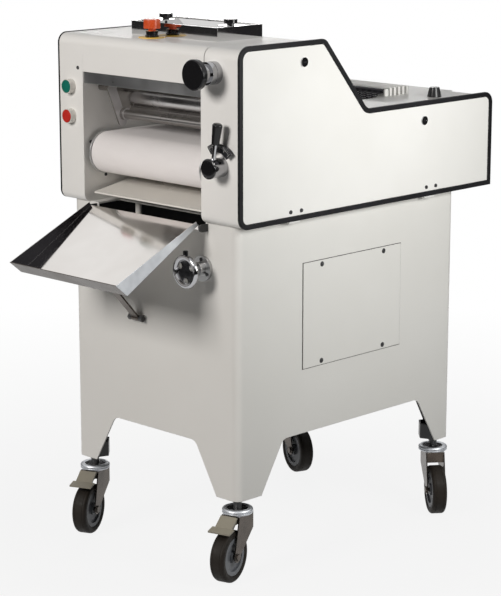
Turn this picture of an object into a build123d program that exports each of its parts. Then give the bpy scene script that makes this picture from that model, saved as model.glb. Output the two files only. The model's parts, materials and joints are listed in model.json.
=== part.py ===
"""Dough moulder on a castor stand: sheeting head, moulding belt with pressing board, and a catch tray."""

import os
from math import asin, atan2, cos, hypot, pi, radians, sin, tan

from build123d import *

# Clearances
RUN_FIT = 0.06
MOVE_GAP = 0.3
SEAM_GAP = 1.0
COVER_SEAM = 1.8
PIN_GAP = 0.35

# Castors
WHEEL_R = 62.5
WHEEL_WIDTH = 37.0
TYRE_DEPTH = 17.0
TYRE_EDGE_R = 7.0
HUB_WIDTH = 33.0
HUB_RECESS = 5.0
AXLE_R = 5.0
AXLE_HEAD_R = 9.0
AXLE_HEAD_T = 4.0
FORK_DROP = 95.5
FORK_HEAD_R = 34.5
FORK_HEAD_T = 11.7
FORK_GAP = 43.0
FORK_SHEET = 3.0
FORK_BOSS_R = 13.0
FORK_TOP_WIDTH = 66.0
FORK_WAIST = 42.0
FORK_BROW_GAP = 6.0
TRAIL = 44.0
STEM_R = 6.0
STEM_COLLAR_R = 10.0
STEM_LENGTH = 23.5
STEM_SPIGOT = 9.0
STEM_NUT_R = 12.0
STEM_NUT_T = 10.0
CASTOR_INSET = 30.0
PEDAL_PIN_R = 3.0
PEDAL_PIN_SHIFT = 24.0
PEDAL_PIN_DROP = 11.0
PEDAL_T = 4.0
PEDAL_ARM_WIDTH = 34.0
PEDAL_RAMP_WIDTH = 44.0
PEDAL_RAMP_BACK = 18.0
PEDAL_RAMP_TOP = 12.0
PEDAL_RAMP_FRONT = 45.0
PEDAL_RAMP_FOOT = -8.0
PEDAL_LIP_WIDTH = 58.0
PEDAL_LIP_FRONT = 68.0
PEDAL_LIP_FOOT = -13.0
FRONT_RIGHT_YAW = -74.0
FRONT_LEFT_YAW = -66.0
REAR_RIGHT_YAW = -38.2
REAR_LEFT_YAW = -20.0

# Stand
STAND_WIDTH = 569.0
STAND_LENGTH = 780.5
STAND_HEIGHT = 656.5
STAND_SETBACK = 19.5
STAND_SHEET = 3.0
STAND_TOP_T = 4.0
STAND_CORNER_R = 20.0
FRONT_LEG = 70.5
FRONT_ARCH_SLANT = 72.0
SIDE_LEG_FRONT = 80.5
SIDE_LEG_REAR = 59.0
SIDE_ARCH_SLANT = 74.0
ARCH_RISE = 124.5
ARCH_R = 25.0
BRACKET_FOOT = 52.0
BRACKET_REACH = 74.0
BRACKET_NOSE = 40.0
BRACKET_T = 4.0
BRACKET_HEIGHT = 38.0
ACCESS_Y = 219.5
ACCESS_LENGTH = 352.0
ACCESS_TOP = 115.6
ACCESS_HEIGHT = 257.0
ACCESS_LAP = 15.0
ACCESS_T = 2.0
ACCESS_SCREW_Y = 64.5
ACCESS_SCREW_Z = 10.0
SCREW_R = 4.5
SCREW_T = 2.4
CHUTE_DEPTH = 22.0
CHUTE_LENGTH = 70.0
INLET_X = -180.0
INLET_Z = 300.0
INLET_R = 10.25
INLET_FLANGE_WALL = 6.0
INLET_FLANGE_T = 8.0
INLET_SPIGOT_WALL = 3.0
INLET_SPIGOT_OUT = 2.5

# Head casings
LEFT_OVERHANG = 18.5
RIGHT_OVERHANG = 22.5
CASING_LENGTH = 902.0
CASING_HEIGHT = 404.5
DECK_HEIGHT = 228.0
TOP_END = 279.0
DECK_START = 427.0
LEFT_CASING_W = 84.0
RIGHT_CASING_W = 119.5
CASING_SHEET = 2.5
INNER_WALL_T = 6.0
FRONT_TOP_R = 24.0
FRONT_BOTTOM_R = 20.0
TOP_SLOPE_R = 17.0
NOTCH_R = 36.0
REAR_TOP_R = 20.0
FRONT_DROP = 87.5
COVER_LAP = 12.5
BEARING_R = 26.0
BEARING_L = 12.0
LEFT_BEARING_L = 2.5
COVER_T = 3.5
TRIM_WIDTH = 12.5
TRIM_T = 6.5
TRIM_FRONT = 1.5
TRIM_OVERHANG = 8.0
TRIM_UNDERHANG = 3.0
TRIM_EDGE_R = 2.2
LEFT_TRIM_WIDTH = 6.0
LEFT_TRIM_T = 4.5
LEFT_TRIM_OVERHANG = 1.5
LEFT_TRIM_EDGE_R = 1.2
LATCH_FRONT_Y = 211.0
LATCH_DROP = 41.0
LATCH_REAR_Y = 643.5
LATCH_R = 11.0
LATCH_SHAFT_R = 5.0
LATCH_SLOT = 2.5
HINGE_FRONT_Y = 186.0
HINGE_REAR_Y = 673.5
HINGE_WIDTH = 38.0
HINGE_PIN_R = 2.0
HINGE_R = 4.2
HINGE_DROP = 5.5
HINGE_INSET = 4.0
HINGE_LEAF_T = 2.7
HINGE_LEAF_W = 48.0
HINGE_SCREW_PITCH = 36.0
HINGE_SCREW_Z = 20.0
SLOPE_COVER = 0.74

# Feed hopper
HOPPER_X = -13.5
HOPPER_WIDTH = 293.0
HOPPER_Y = 107.0
HOPPER_LENGTH = 149.0
HOPPER_HEIGHT = 32.0
HOPPER_SHEET = 2.0
THROAT = 36.0
GUIDE_LIFT = 50.5
THUMB_X = -7.75
THUMB_PITCH = 220.5
THUMB_Y = 181.0
THUMB_HEAD_R = 16.0
THUMB_HEAD_T = 10.0
THUMB_NECK_R = 9.0
THUMB_NECK_T = 4.5
THUMB_STUD_R = 3.0
THUMB_STUD_L = 14.0
THUMB_LAND = 48.0

# Rollers, drums and belt
ROLLER_R = 42.0
ROLLER_Y = 140.0
ROLLER_SHARE = 0.37
ROLLER_PITCH = 92.0
SHAFT_R = 12.0
DRUM_R = 46.7
DRUM_Y = 60.0
DRUM_Z = 119.0
DRUM_PITCH = 755.0
DRUM_FLANGE_R = 52.5
DRUM_FLANGE_T = 4.0
DRUM_SIDE_GAP = 10.0
BELT_T = 3.0
BELT_EDGE = 6.0
BED_T = 4.0
BED_GAP = 1.0
BED_MARGIN = 60.0
GEAR_TEETH = 23
GEAR_FACE = 16.0
GEAR_ADDENDUM = 3.0
GEAR_DEDENDUM = 4.5
GEAR_BACKLASH = 1.5
GEAR_OUTSET = 21.0
SPROCKET_T = 8.0
CHAIN_OUTSET = 49.0
CHAIN_T = 6.0
CHAIN_W = 10.0
DRUM_SPROCKET_R = 38.0
ROLLER_SPROCKET_R = 28.0
MOTOR_SPROCKET_R = 28.0
SPROCKET_NOTCHES = 16
NOTCH_DEPTH_R = 2.5
MOTOR_Y = 250.0
MOTOR_Z = 200.0
MOTOR_R = 70.0
MOTOR_L = 230.0
GEARBOX_L = 150.0
GEARBOX_SIZE = 160.0
MOTOR_SHAFT_R = 11.0
CHAIN_SLOT_START = 55.0
CHAIN_SLOT_END = 262.0
CHAIN_SLOT_W = 24.0

# Scraper and guards
SCRAPER_PIVOT_Y = 57.0
SCRAPER_PIVOT_RISE = 20.0
SCRAPER_END_Y = 91.0
SCRAPER_END_DROP = 64.0
SCRAPER_ARM_W = 25.0
SCRAPER_ARM_T = 5.0
SCRAPER_ARM_OUTSET = 41.0
SCRAPER_ROD_R = 11.0
SCRAPER_ROD_Y = 95.0
SCRAPER_ROD_DROP = 46.0
SCRAPER_COLLAR_R = 15.0
SCRAPER_COLLAR_T = 10.0
SCRAPER_BLADE_T = 2.0
SCRAPER_BLADE_GAP = 0.4
GUARD_FACE = 27.0
GUARD_DEPTH = 22.5
GUARD_SHEET = 2.0
GUARD_LAP = 15.0

# Rear cover and chain mesh
REAR_COVER_START = 660.0
REAR_COVER_T = 2.0
REAR_LEDGE_START = 440.0
REAR_LEDGE_W = 39.0
MESH_BAR_Y = 690.0
MESH_BAR_LIFT = 12.0
MESH_BAR_R = 4.0
MESH_SLEEVE_R = 6.5
MESH_MARGIN = 44.0
MESH_T = 3.0
MESH_LENGTH = 262.0
MESH_BELT_GAP = 3.2
MESH_COLUMNS = 17
MESH_ROWS = 13
MESH_WIRE = 5.0
MESH_LUG_T = 5.0
RIB_COUNT = 5
RIB_T = 8.0
RIB_PITCH = 16.0
RIB_HEIGHT = 20.0
RIB_FIRST_Y = 706.0

# Pressing board and handwheel
BOARD_FRONT_Y = 20.0
BOARD_FRONT_Z = 25.0
BOARD_FLAT_Y = 125.0
BOARD_Z = 43.0
BOARD_LENGTH = 750.0
BOARD_T = 4.0
BOARD_SIDE_GAP = 13.5
BOARD_RIB_T = 6.0
BOARD_RIB_H = 18.0
PIN_R = 8.0
PIN_INSET = 43.0
PIN_FRONT_Y = 125.0
PIN_REAR_Y = 620.0
PIN_DROP = 45.0
HANDWHEEL_INSET = 110.5
HANDWHEEL_Z = 110.0
HANDWHEEL_R = 40.0
HANDWHEEL_RIM_R = 6.5
HANDWHEEL_REACH = 64.0
HANDWHEEL_HUB_R = 13.0
HANDWHEEL_WEB_T = 5.0
HANDWHEEL_HOLE_SHIFT = 1.0
HANDWHEEL_SHAFT_R = 8.0
HANDWHEEL_SHAFT_IN = 60.0
HANDWHEEL_PEG_R = 5.0
HANDWHEEL_PEG_L = 9.0
FLANGE_R = 30.0
FLANGE_T = 8.0
FLANGE_BOSS_R = 17.0
FLANGE_BOSS_L = 16.0
FLANGE_SCREW_R = 22.0

# Front controls
BUTTON_INSET = 40.5
BUTTON_DROP = 38.0
BUTTON_PITCH = 72.0
BEZEL_R = 17.5
BEZEL_WALL = 1.5
BEZEL_L = 16.0
BEZEL_FLOOR = 3.0
BUTTON_L = 10.0
BUTTON_PROUD = 1.0
BUTTON_STEM_R = 6.0
BUTTON_STEM_L = 27.0
BUTTON_HOLE_R = 8.0
FRONT_SCREW_INSET = 67.0
FRONT_SCREW_RISE = 8.0
GAP_KNOB_INSET = 74.0
GAP_KNOB_DROP = 54.5
SLEEVE_R = 26.5
SLEEVE_L = 30.0
SLEEVE_GROOVE = 1.5
NECK_R = 21.0
NECK_L = 24.0
GAP_KNOB_R = 35.0
GAP_KNOB_L = 15.5
GAP_KNOB_EDGE_R = 3.0
CONTROL_SHAFT_R = 7.0
CONTROL_SHAFT_IN = 30.0
LEVER_SHAFT_IN = 14.0
LEVER_INSET = 53.0
LEVER_Z = 138.0
LEVER_HUB_R = 22.5
LEVER_HUB_L = 39.7
LEVER_CAP_R = 23.0
LEVER_CAP_T = 2.5
LEVER_ARM_Y = 28.0
LEVER_ARM_R = 5.5
LEVER_TILT = 9.0
GRIP_START = 56.0
GRIP_END = 105.0
GRIP_DOME_R = 6.0
GRIP_R_INNER = 9.0
GRIP_R_OUTER = 12.0
SECTOR_INNER_R = 35.0
SECTOR_OUTER_R = 55.0
SECTOR_FROM = 37.6
SECTOR_TO = 126.5
SECTOR_Y = 9.0
SECTOR_T = 4.0
SECTOR_POST_R = 4.0
ESTOP_X = -52.0
ESTOP_Y = 73.5
ESTOP_PLATE_R = 32.0
ESTOP_PLATE_T = 2.0
ESTOP_NECK_R = 14.0
ESTOP_NECK_H = 14.0
ESTOP_HEAD_R = 20.0
ESTOP_HEAD_H = 22.0
ESTOP_TRAVEL_GAP = 6.0
ESTOP_STEM_R = 9.0
DECK_KNOB_INSET = 70.0
DECK_KNOB_Y = 770.0
DECK_KNOB_R = 18.0
DECK_KNOB_TOP_R = 12.5
DECK_KNOB_H = 23.5
DECK_KNOB_STEM_R = 5.0
DECK_KNOB_STEM_L = 16.0

# Catch tray
TRAY_LEFT_INSET = 28.0
TRAY_RIGHT_INSET = 5.5
TRAY_SHEET = 1.5
TRAY_GAP = 5.5
TRAY_DROP = 5.0
TRAY_RUN = 221.0
TRAY_FALL = 131.0
TRAY_LIP_RUN = 34.0
TRAY_LIP_RISE = 28.0
TRAY_REAR_WALL = 11.0
TRAY_PIVOT_AHEAD = 18.5
TRAY_PIVOT_DROP = 12.0
TRAY_TUBE_R = 6.0
TRAY_PIN_R = 4.0
TRAY_PIN_L = 16.0
TRAY_EAR_T = 4.0
TRAY_EAR_GAP = 4.0
TRAY_EAR_R = 9.0
STRUT_SHIFT = 42.5
STRUT_W = 24.0
STRUT_T = 4.0
STRUT_PIVOT_AHEAD = 11.5
STRUT_PIVOT_DROP = 262.0
STRUT_TILT = 48.0
STRUT_EYE_R = 7.0
STRUT_PIN_R = 4.0
STRUT_EAR_T = 4.0
STRUT_EAR_GAP = 1.0
STRUT_REST_GAP = 0.4
STRUT_BOLT_R = 8.0
STRUT_BOLT_L = 7.0

# Derived positions
leg_bottom = STEM_LENGTH + MOVE_GAP + FORK_HEAD_T + FORK_DROP + WHEEL_R
stand_top = leg_bottom + STAND_HEIGHT
fork_head_bottom = FORK_DROP + WHEEL_R
tray_reach = TRAY_GAP + TRAY_RUN + TRAY_LIP_RUN
casing_front = (tray_reach - CASING_LENGTH - TRIM_OVERHANG) / 2
castor_x = STAND_WIDTH / 2 - CASTOR_INSET
stand_rear = STAND_SETBACK + STAND_LENGTH
stand_mid = STAND_SETBACK + STAND_LENGTH / 2
inlet_spigot_r = INLET_R + INLET_SPIGOT_WALL
left_x = -STAND_WIDTH / 2 - LEFT_OVERHANG
right_x = STAND_WIDTH / 2 + RIGHT_OVERHANG
inner_left = left_x + LEFT_CASING_W
inner_right = right_x - RIGHT_CASING_W
opening_top = CASING_HEIGHT - FRONT_DROP
slope_angle = atan2(CASING_HEIGHT - DECK_HEIGHT, DECK_START - TOP_END)
rear_roller_y = ROLLER_Y + ROLLER_PITCH
rear_drum_y = DRUM_Y + DRUM_PITCH
chain_x = inner_right + CHAIN_OUTSET
gear_x = inner_left - GEAR_OUTSET
belt_r = DRUM_R + MOVE_GAP + BELT_T
belt_top = DRUM_Z + belt_r
roller_z = belt_top + ROLLER_SHARE * (CASING_HEIGHT - belt_top)
shaft_points = [
    (DRUM_Y, DRUM_Z),
    (rear_drum_y, DRUM_Z),
    (ROLLER_Y, roller_z),
    (rear_roller_y, roller_z),
]
latch_points = [
    (LATCH_FRONT_Y, CASING_HEIGHT - LATCH_DROP),
    (LATCH_REAR_Y, DECK_HEIGHT - LATCH_DROP),
]
hinge_points = [HINGE_FRONT_Y, HINGE_REAR_Y]
hinge_x = right_x - HINGE_INSET
cover_face = right_x + COVER_T
left_cover_face = left_x - COVER_T
mesh_left = inner_left + MESH_MARGIN
mesh_right = inner_right - MESH_MARGIN
mesh_bar_z = DECK_HEIGHT + MESH_BAR_LIFT
handwheel_face = STAND_SETBACK - HANDWHEEL_REACH
tray_pivot_y = STAND_SETBACK - TRAY_PIVOT_AHEAD
strut_pivot_y = STAND_SETBACK - STRUT_PIVOT_AHEAD
hopper_top = CASING_HEIGHT + HOPPER_HEIGHT
button_x = left_x + BUTTON_INSET
start_z = opening_top - BUTTON_DROP
stop_z = start_z - BUTTON_PITCH
front_screw = (left_x + FRONT_SCREW_INSET, opening_top + FRONT_SCREW_RISE)
gap_knob_point = (right_x - GAP_KNOB_INSET, CASING_HEIGHT - GAP_KNOB_DROP)
lever_x = right_x - LEVER_INSET
deck_knob_point = (right_x - DECK_KNOB_INSET, DECK_KNOB_Y)
handwheel_x = STAND_WIDTH / 2 - HANDWHEEL_INSET
board_left = inner_left + BOARD_SIDE_GAP
board_right = inner_right - BOARD_SIDE_GAP
pin_xs = (board_left + PIN_INSET, board_right - PIN_INSET)
tray_left = inner_left + TRAY_LEFT_INSET
tray_right = inner_right - TRAY_RIGHT_INSET
tray_width = tray_right - tray_left
strut_x = (tray_left + tray_right) / 2 - STRUT_SHIFT
castors = [
    ("front_right", castor_x, STAND_SETBACK + CASTOR_INSET, FRONT_RIGHT_YAW, True),
    ("front_left", -castor_x, STAND_SETBACK + CASTOR_INSET, FRONT_LEFT_YAW, True),
    ("rear_right", castor_x, stand_rear - CASTOR_INSET, REAR_RIGHT_YAW, False),
    ("rear_left", -castor_x, stand_rear - CASTOR_INSET, REAR_LEFT_YAW, False),
]


def tyre_side(x, yaw, sign):
    """Outermost X of a castor tyre on one side of the stand."""
    along = abs(cos(radians(yaw))) * (WHEEL_R - TYRE_EDGE_R)
    across = abs(sin(radians(yaw))) * (WHEEL_WIDTH / 2 - TYRE_EDGE_R)
    return x + TRAIL * cos(radians(yaw)) + sign * (along + across + TYRE_EDGE_R)


right_end = max([right_x + TRIM_T] + [tyre_side(c[1], c[3], 1) for c in castors])
left_end = min([left_x - LEFT_TRIM_T] + [tyre_side(c[1], c[3], -1) for c in castors])
middle_x = (right_end + left_end) / 2


def spot(x, y, z):
    """Point in the part's frame from X, distance behind the casing front and height over the stand top."""
    return (x - middle_x, casing_front + y, stand_top + z)


def side(x):
    """Plane facing +X; local axes run rearwards from the casing front and upwards from the stand top."""
    return Plane(origin=spot(x, 0, 0), x_dir=(0, 1, 0), z_dir=(1, 0, 0))


def front(y):
    """Plane facing the front, y behind the casing front; local axes are X and height over the stand top."""
    return Plane(origin=spot(0, y, 0), x_dir=(1, 0, 0), z_dir=(0, -1, 0))


def level(z):
    """Plane facing up, z over the stand top; local axes are X and distance behind the casing front."""
    return Plane(origin=spot(0, 0, z), x_dir=(1, 0, 0), z_dir=(0, 0, 1))


def head_outline(ahead, over, under):
    """Corners of the casing's side outline, grown ahead in front, over on top and behind, and under below."""
    shift = over * tan(slope_angle / 2)
    return [
        (-ahead, -under),
        (-ahead, CASING_HEIGHT + over),
        (TOP_END + shift, CASING_HEIGHT + over),
        (DECK_START + shift, DECK_HEIGHT + over),
        (CASING_LENGTH + over, DECK_HEIGHT + over),
        (CASING_LENGTH + over, -under),
    ]


def head_radii(over):
    """Corner radii that go with head_outline."""
    return [
        FRONT_BOTTOM_R + over,
        FRONT_TOP_R + over,
        TOP_SLOPE_R + over,
        NOTCH_R - over,
        REAR_TOP_R + over,
        0.0,
    ]


def cover_outline():
    """Corners of the front and top cover's bent sheet, from the opening's top edge over to the slope."""
    end_y = TOP_END + SLOPE_COVER * (DECK_START - TOP_END)
    end_z = CASING_HEIGHT - SLOPE_COVER * (CASING_HEIGHT - DECK_HEIGHT)
    shift = CASING_SHEET * tan(slope_angle / 2)
    return [
        (0, opening_top),
        (0, CASING_HEIGHT),
        (TOP_END, CASING_HEIGHT),
        (end_y, end_z),
        (end_y - CASING_SHEET * sin(slope_angle), end_z - CASING_SHEET * cos(slope_angle)),
        (TOP_END - shift, CASING_HEIGHT - CASING_SHEET),
        (CASING_SHEET, CASING_HEIGHT - CASING_SHEET),
        (CASING_SHEET, opening_top),
    ]


cover_radii = [
    0,
    FRONT_TOP_R,
    TOP_SLOPE_R,
    0,
    0,
    TOP_SLOPE_R - CASING_SHEET,
    FRONT_TOP_R - CASING_SHEET,
    0,
]


def save(builder, name):
    """Label one sub-part and write its file."""
    builder.part.label = name
    export_step(builder.part, f"parts/{name}.step")


os.makedirs("parts", exist_ok=True)

# Stand cabinet: four legs, arched openings, a front chute notch, an access opening and a cable inlet collar
foot_x = STAND_WIDTH / 2 - FRONT_LEG
arch_x = foot_x - FRONT_ARCH_SLANT
foot_front = STAND_SETBACK + SIDE_LEG_FRONT
foot_rear = stand_rear - SIDE_LEG_REAR
with BuildPart() as stand_shell:
    with BuildSketch(level(-STAND_HEIGHT)):
        with Locations((0, stand_mid)):
            RectangleRounded(STAND_WIDTH, STAND_LENGTH, STAND_CORNER_R)
    extrude(amount=STAND_HEIGHT)
    with BuildSketch(level(-STAND_HEIGHT)):
        with Locations((0, stand_mid)):
            RectangleRounded(
                STAND_WIDTH - 2 * STAND_SHEET,
                STAND_LENGTH - 2 * STAND_SHEET,
                STAND_CORNER_R - STAND_SHEET,
            )
    extrude(amount=STAND_HEIGHT - STAND_TOP_T, mode=Mode.SUBTRACT)
    with BuildSketch(front(STAND_SETBACK)):
        with BuildLine():
            FilletPolyline(
                (-foot_x, -STAND_HEIGHT),
                (-arch_x, ARCH_RISE - STAND_HEIGHT),
                (arch_x, ARCH_RISE - STAND_HEIGHT),
                (foot_x, -STAND_HEIGHT),
                radius=[0, ARCH_R, ARCH_R, 0],
                close=True,
            )
        make_face()
    extrude(amount=-STAND_LENGTH, mode=Mode.SUBTRACT)
    with BuildSketch(side(-STAND_WIDTH / 2)):
        with BuildLine():
            FilletPolyline(
                (foot_front, -STAND_HEIGHT),
                (foot_front + SIDE_ARCH_SLANT, ARCH_RISE - STAND_HEIGHT),
                (foot_rear - SIDE_ARCH_SLANT, ARCH_RISE - STAND_HEIGHT),
                (foot_rear, -STAND_HEIGHT),
                radius=[0, ARCH_R, ARCH_R, 0],
                close=True,
            )
        make_face()
    extrude(amount=STAND_WIDTH, mode=Mode.SUBTRACT)
    with BuildSketch(side(STAND_WIDTH / 2 - STAND_SHEET)):
        with Locations((STAND_SETBACK + ACCESS_Y + ACCESS_LENGTH / 2, -ACCESS_TOP - ACCESS_HEIGHT / 2)):
            Rectangle(ACCESS_LENGTH - 2 * ACCESS_LAP, ACCESS_HEIGHT - 2 * ACCESS_LAP)
    extrude(amount=STAND_SHEET, mode=Mode.SUBTRACT)
    with BuildSketch(front(STAND_SETBACK)):
        with Locations((handwheel_x, -HANDWHEEL_Z)):
            Circle(HANDWHEEL_SHAFT_R + SEAM_GAP)
    extrude(amount=-STAND_SHEET, mode=Mode.SUBTRACT)
    with BuildSketch(side(tray_left)):
        with Locations((STAND_SETBACK + CHUTE_LENGTH / 2, -CHUTE_DEPTH / 2)):
            Rectangle(CHUTE_LENGTH, CHUTE_DEPTH)
    extrude(amount=tray_width, mode=Mode.SUBTRACT)
    with BuildSketch(level(-STAND_TOP_T)):
        for pin_y in (PIN_FRONT_Y, PIN_REAR_Y):
            with Locations(*[(pin_x, pin_y) for pin_x in pin_xs]):
                Circle(PIN_R + PIN_GAP)
        with Locations((chain_x, (CHAIN_SLOT_START + CHAIN_SLOT_END) / 2)):
            Rectangle(CHAIN_SLOT_W, CHAIN_SLOT_END - CHAIN_SLOT_START)
    extrude(amount=STAND_TOP_T, mode=Mode.SUBTRACT)
    with BuildSketch(front(stand_rear)):
        with Locations((INLET_X, -INLET_Z)):
            Circle(inlet_spigot_r + SEAM_GAP)
    extrude(amount=STAND_SHEET, mode=Mode.SUBTRACT)
save(stand_shell, "stand_shell")

# Cable inlet: flanged collar through the stand's rear wall
with BuildPart() as cable_inlet:
    with BuildSketch(front(stand_rear)):
        with Locations((INLET_X, -INLET_Z)):
            Circle(INLET_R + INLET_FLANGE_WALL)
    extrude(amount=-INLET_FLANGE_T)
    with BuildSketch(front(stand_rear)):
        with Locations((INLET_X, -INLET_Z)):
            Circle(inlet_spigot_r)
    extrude(amount=STAND_SHEET + INLET_SPIGOT_OUT)
    with BuildSketch(front(stand_rear + INLET_FLANGE_T)):
        with Locations((INLET_X, -INLET_Z)):
            Circle(INLET_R)
    extrude(amount=INLET_FLANGE_T + STAND_SHEET + INLET_SPIGOT_OUT, mode=Mode.SUBTRACT)
save(cable_inlet, "cable_inlet")

# Brackets on the stand: pressed corner boxes inside the legs with the castor stems and nuts, two tray ears
# with inward pins on the front, and a clevis with a cross bolt for the strut
inside_x = STAND_WIDTH / 2 - STAND_SHEET
corner_cut = STAND_CORNER_R - STAND_SHEET + MOVE_GAP
nose_near = (BRACKET_REACH - BRACKET_NOSE / 2) / 2**0.5
nose_far = (BRACKET_REACH + BRACKET_NOSE / 2) / 2**0.5
with BuildPart() as stand_brackets:
    for sx in (1, -1):
        for edge_y, sy in ((STAND_SETBACK, 1), (stand_rear, -1)):
            inside_y = edge_y + sy * STAND_SHEET
            axis_y = edge_y + sy * CASTOR_INSET
            with BuildSketch(level(-STAND_HEIGHT)) as bracket_plan:
                with BuildLine():
                    Polyline(
                        (sx * (inside_x - corner_cut), inside_y),
                        (sx * (inside_x - BRACKET_FOOT), inside_y),
                        (sx * (inside_x - nose_far), inside_y + sy * nose_near),
                        (sx * (inside_x - nose_near), inside_y + sy * nose_far),
                        (sx * inside_x, inside_y + sy * BRACKET_FOOT),
                        (sx * inside_x, inside_y + sy * corner_cut),
                        close=True,
                    )
                make_face()
            extrude(amount=BRACKET_HEIGHT)
            with BuildSketch(level(-STAND_HEIGHT + BRACKET_T)):
                offset(bracket_plan.sketch_local, amount=-BRACKET_T, kind=Kind.INTERSECTION)
            extrude(amount=BRACKET_HEIGHT, mode=Mode.SUBTRACT)
            with BuildSketch(level(-STAND_HEIGHT - STEM_NUT_T)):
                with Locations((sx * castor_x, axis_y)):
                    RegularPolygon(STEM_NUT_R, 6)
            extrude(amount=STEM_NUT_T * 2 + BRACKET_T)
            with BuildSketch(level(-STAND_HEIGHT - STEM_LENGTH)):
                with Locations((sx * castor_x, axis_y)):
                    Circle(STEM_COLLAR_R)
            extrude(amount=STEM_LENGTH)
            with BuildSketch(level(-STAND_HEIGHT - STEM_LENGTH - STEM_SPIGOT)):
                with Locations((sx * castor_x, axis_y)):
                    Circle(STEM_R)
            extrude(amount=STEM_SPIGOT)
    for ear_x, sx in ((tray_left - TRAY_EAR_GAP, -1), (tray_right + TRAY_EAR_GAP, 1)):
        with BuildSketch(side(ear_x)):
            with Locations((tray_pivot_y, -TRAY_PIVOT_DROP)):
                Circle(TRAY_EAR_R)
            with Locations(((tray_pivot_y + STAND_SETBACK) / 2, -TRAY_PIVOT_DROP)):
                Rectangle(TRAY_PIVOT_AHEAD, 2 * TRAY_EAR_R)
        extrude(amount=sx * TRAY_EAR_T)
        with BuildSketch(side(ear_x)):
            with Locations((tray_pivot_y, -TRAY_PIVOT_DROP)):
                Circle(TRAY_PIN_R)
        extrude(amount=-sx * (TRAY_EAR_GAP + TRAY_PIN_L))
    ear_step = STRUT_W / 2 + STRUT_EAR_GAP
    for ear_x, sx in ((strut_x - ear_step, -1), (strut_x + ear_step, 1)):
        with BuildSketch(side(ear_x)):
            with Locations((strut_pivot_y, -STRUT_PIVOT_DROP)):
                Circle(STRUT_EYE_R)
            with Locations(((strut_pivot_y + STAND_SETBACK) / 2, -STRUT_PIVOT_DROP)):
                Rectangle(STRUT_PIVOT_AHEAD, 2 * STRUT_EYE_R)
        extrude(amount=sx * STRUT_EAR_T)
        with BuildSketch(side(ear_x + sx * STRUT_EAR_T)):
            with Locations((strut_pivot_y, -STRUT_PIVOT_DROP)):
                RegularPolygon(STRUT_BOLT_R, 6)
        extrude(amount=sx * STRUT_BOLT_L)
    with BuildSketch(side(strut_x - ear_step)):
        with Locations((strut_pivot_y, -STRUT_PIVOT_DROP)):
            Circle(STRUT_PIN_R)
    extrude(amount=2 * ear_step)
save(stand_brackets, "stand_brackets")

# Access panel on the right wall of the stand
access_mid_y = STAND_SETBACK + ACCESS_Y + ACCESS_LENGTH / 2
access_mid_z = -ACCESS_TOP - ACCESS_HEIGHT / 2
with BuildPart() as access_panel:
    with BuildSketch(side(STAND_WIDTH / 2)):
        with Locations((access_mid_y, access_mid_z)):
            RectangleRounded(ACCESS_LENGTH, ACCESS_HEIGHT, ACCESS_T)
    extrude(amount=ACCESS_T)
save(access_panel, "access_panel")

# Pan-head screws: access panel, handwheel flange, front panel and left cover
with BuildPart() as panel_screws:
    with BuildSketch(side(STAND_WIDTH / 2 + ACCESS_T)):
        with Locations((access_mid_y, access_mid_z)):
            with GridLocations(
                ACCESS_LENGTH - 2 * ACCESS_SCREW_Y, ACCESS_HEIGHT - 2 * ACCESS_SCREW_Z, 2, 2
            ):
                Circle(SCREW_R)
    extrude(amount=SCREW_T)
    with BuildSketch(front(STAND_SETBACK - FLANGE_T)):
        with Locations((handwheel_x, -HANDWHEEL_Z)):
            with PolarLocations(FLANGE_SCREW_R, 3, 90):
                Circle(SCREW_R)
    extrude(amount=SCREW_T)
    with BuildSketch(front(0)):
        with Locations(front_screw):
            Circle(SCREW_R)
    extrude(amount=SCREW_T)
    with BuildSketch(side(left_cover_face)):
        for hinge_y in hinge_points:
            with Locations((hinge_y, HINGE_SCREW_Z)):
                with GridLocations(HINGE_SCREW_PITCH, 0, 2, 1):
                    Circle(SCREW_R)
        with Locations(*latch_points):
            Circle(SCREW_R)
    extrude(amount=-SCREW_T)
save(panel_screws, "panel_screws")

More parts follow.
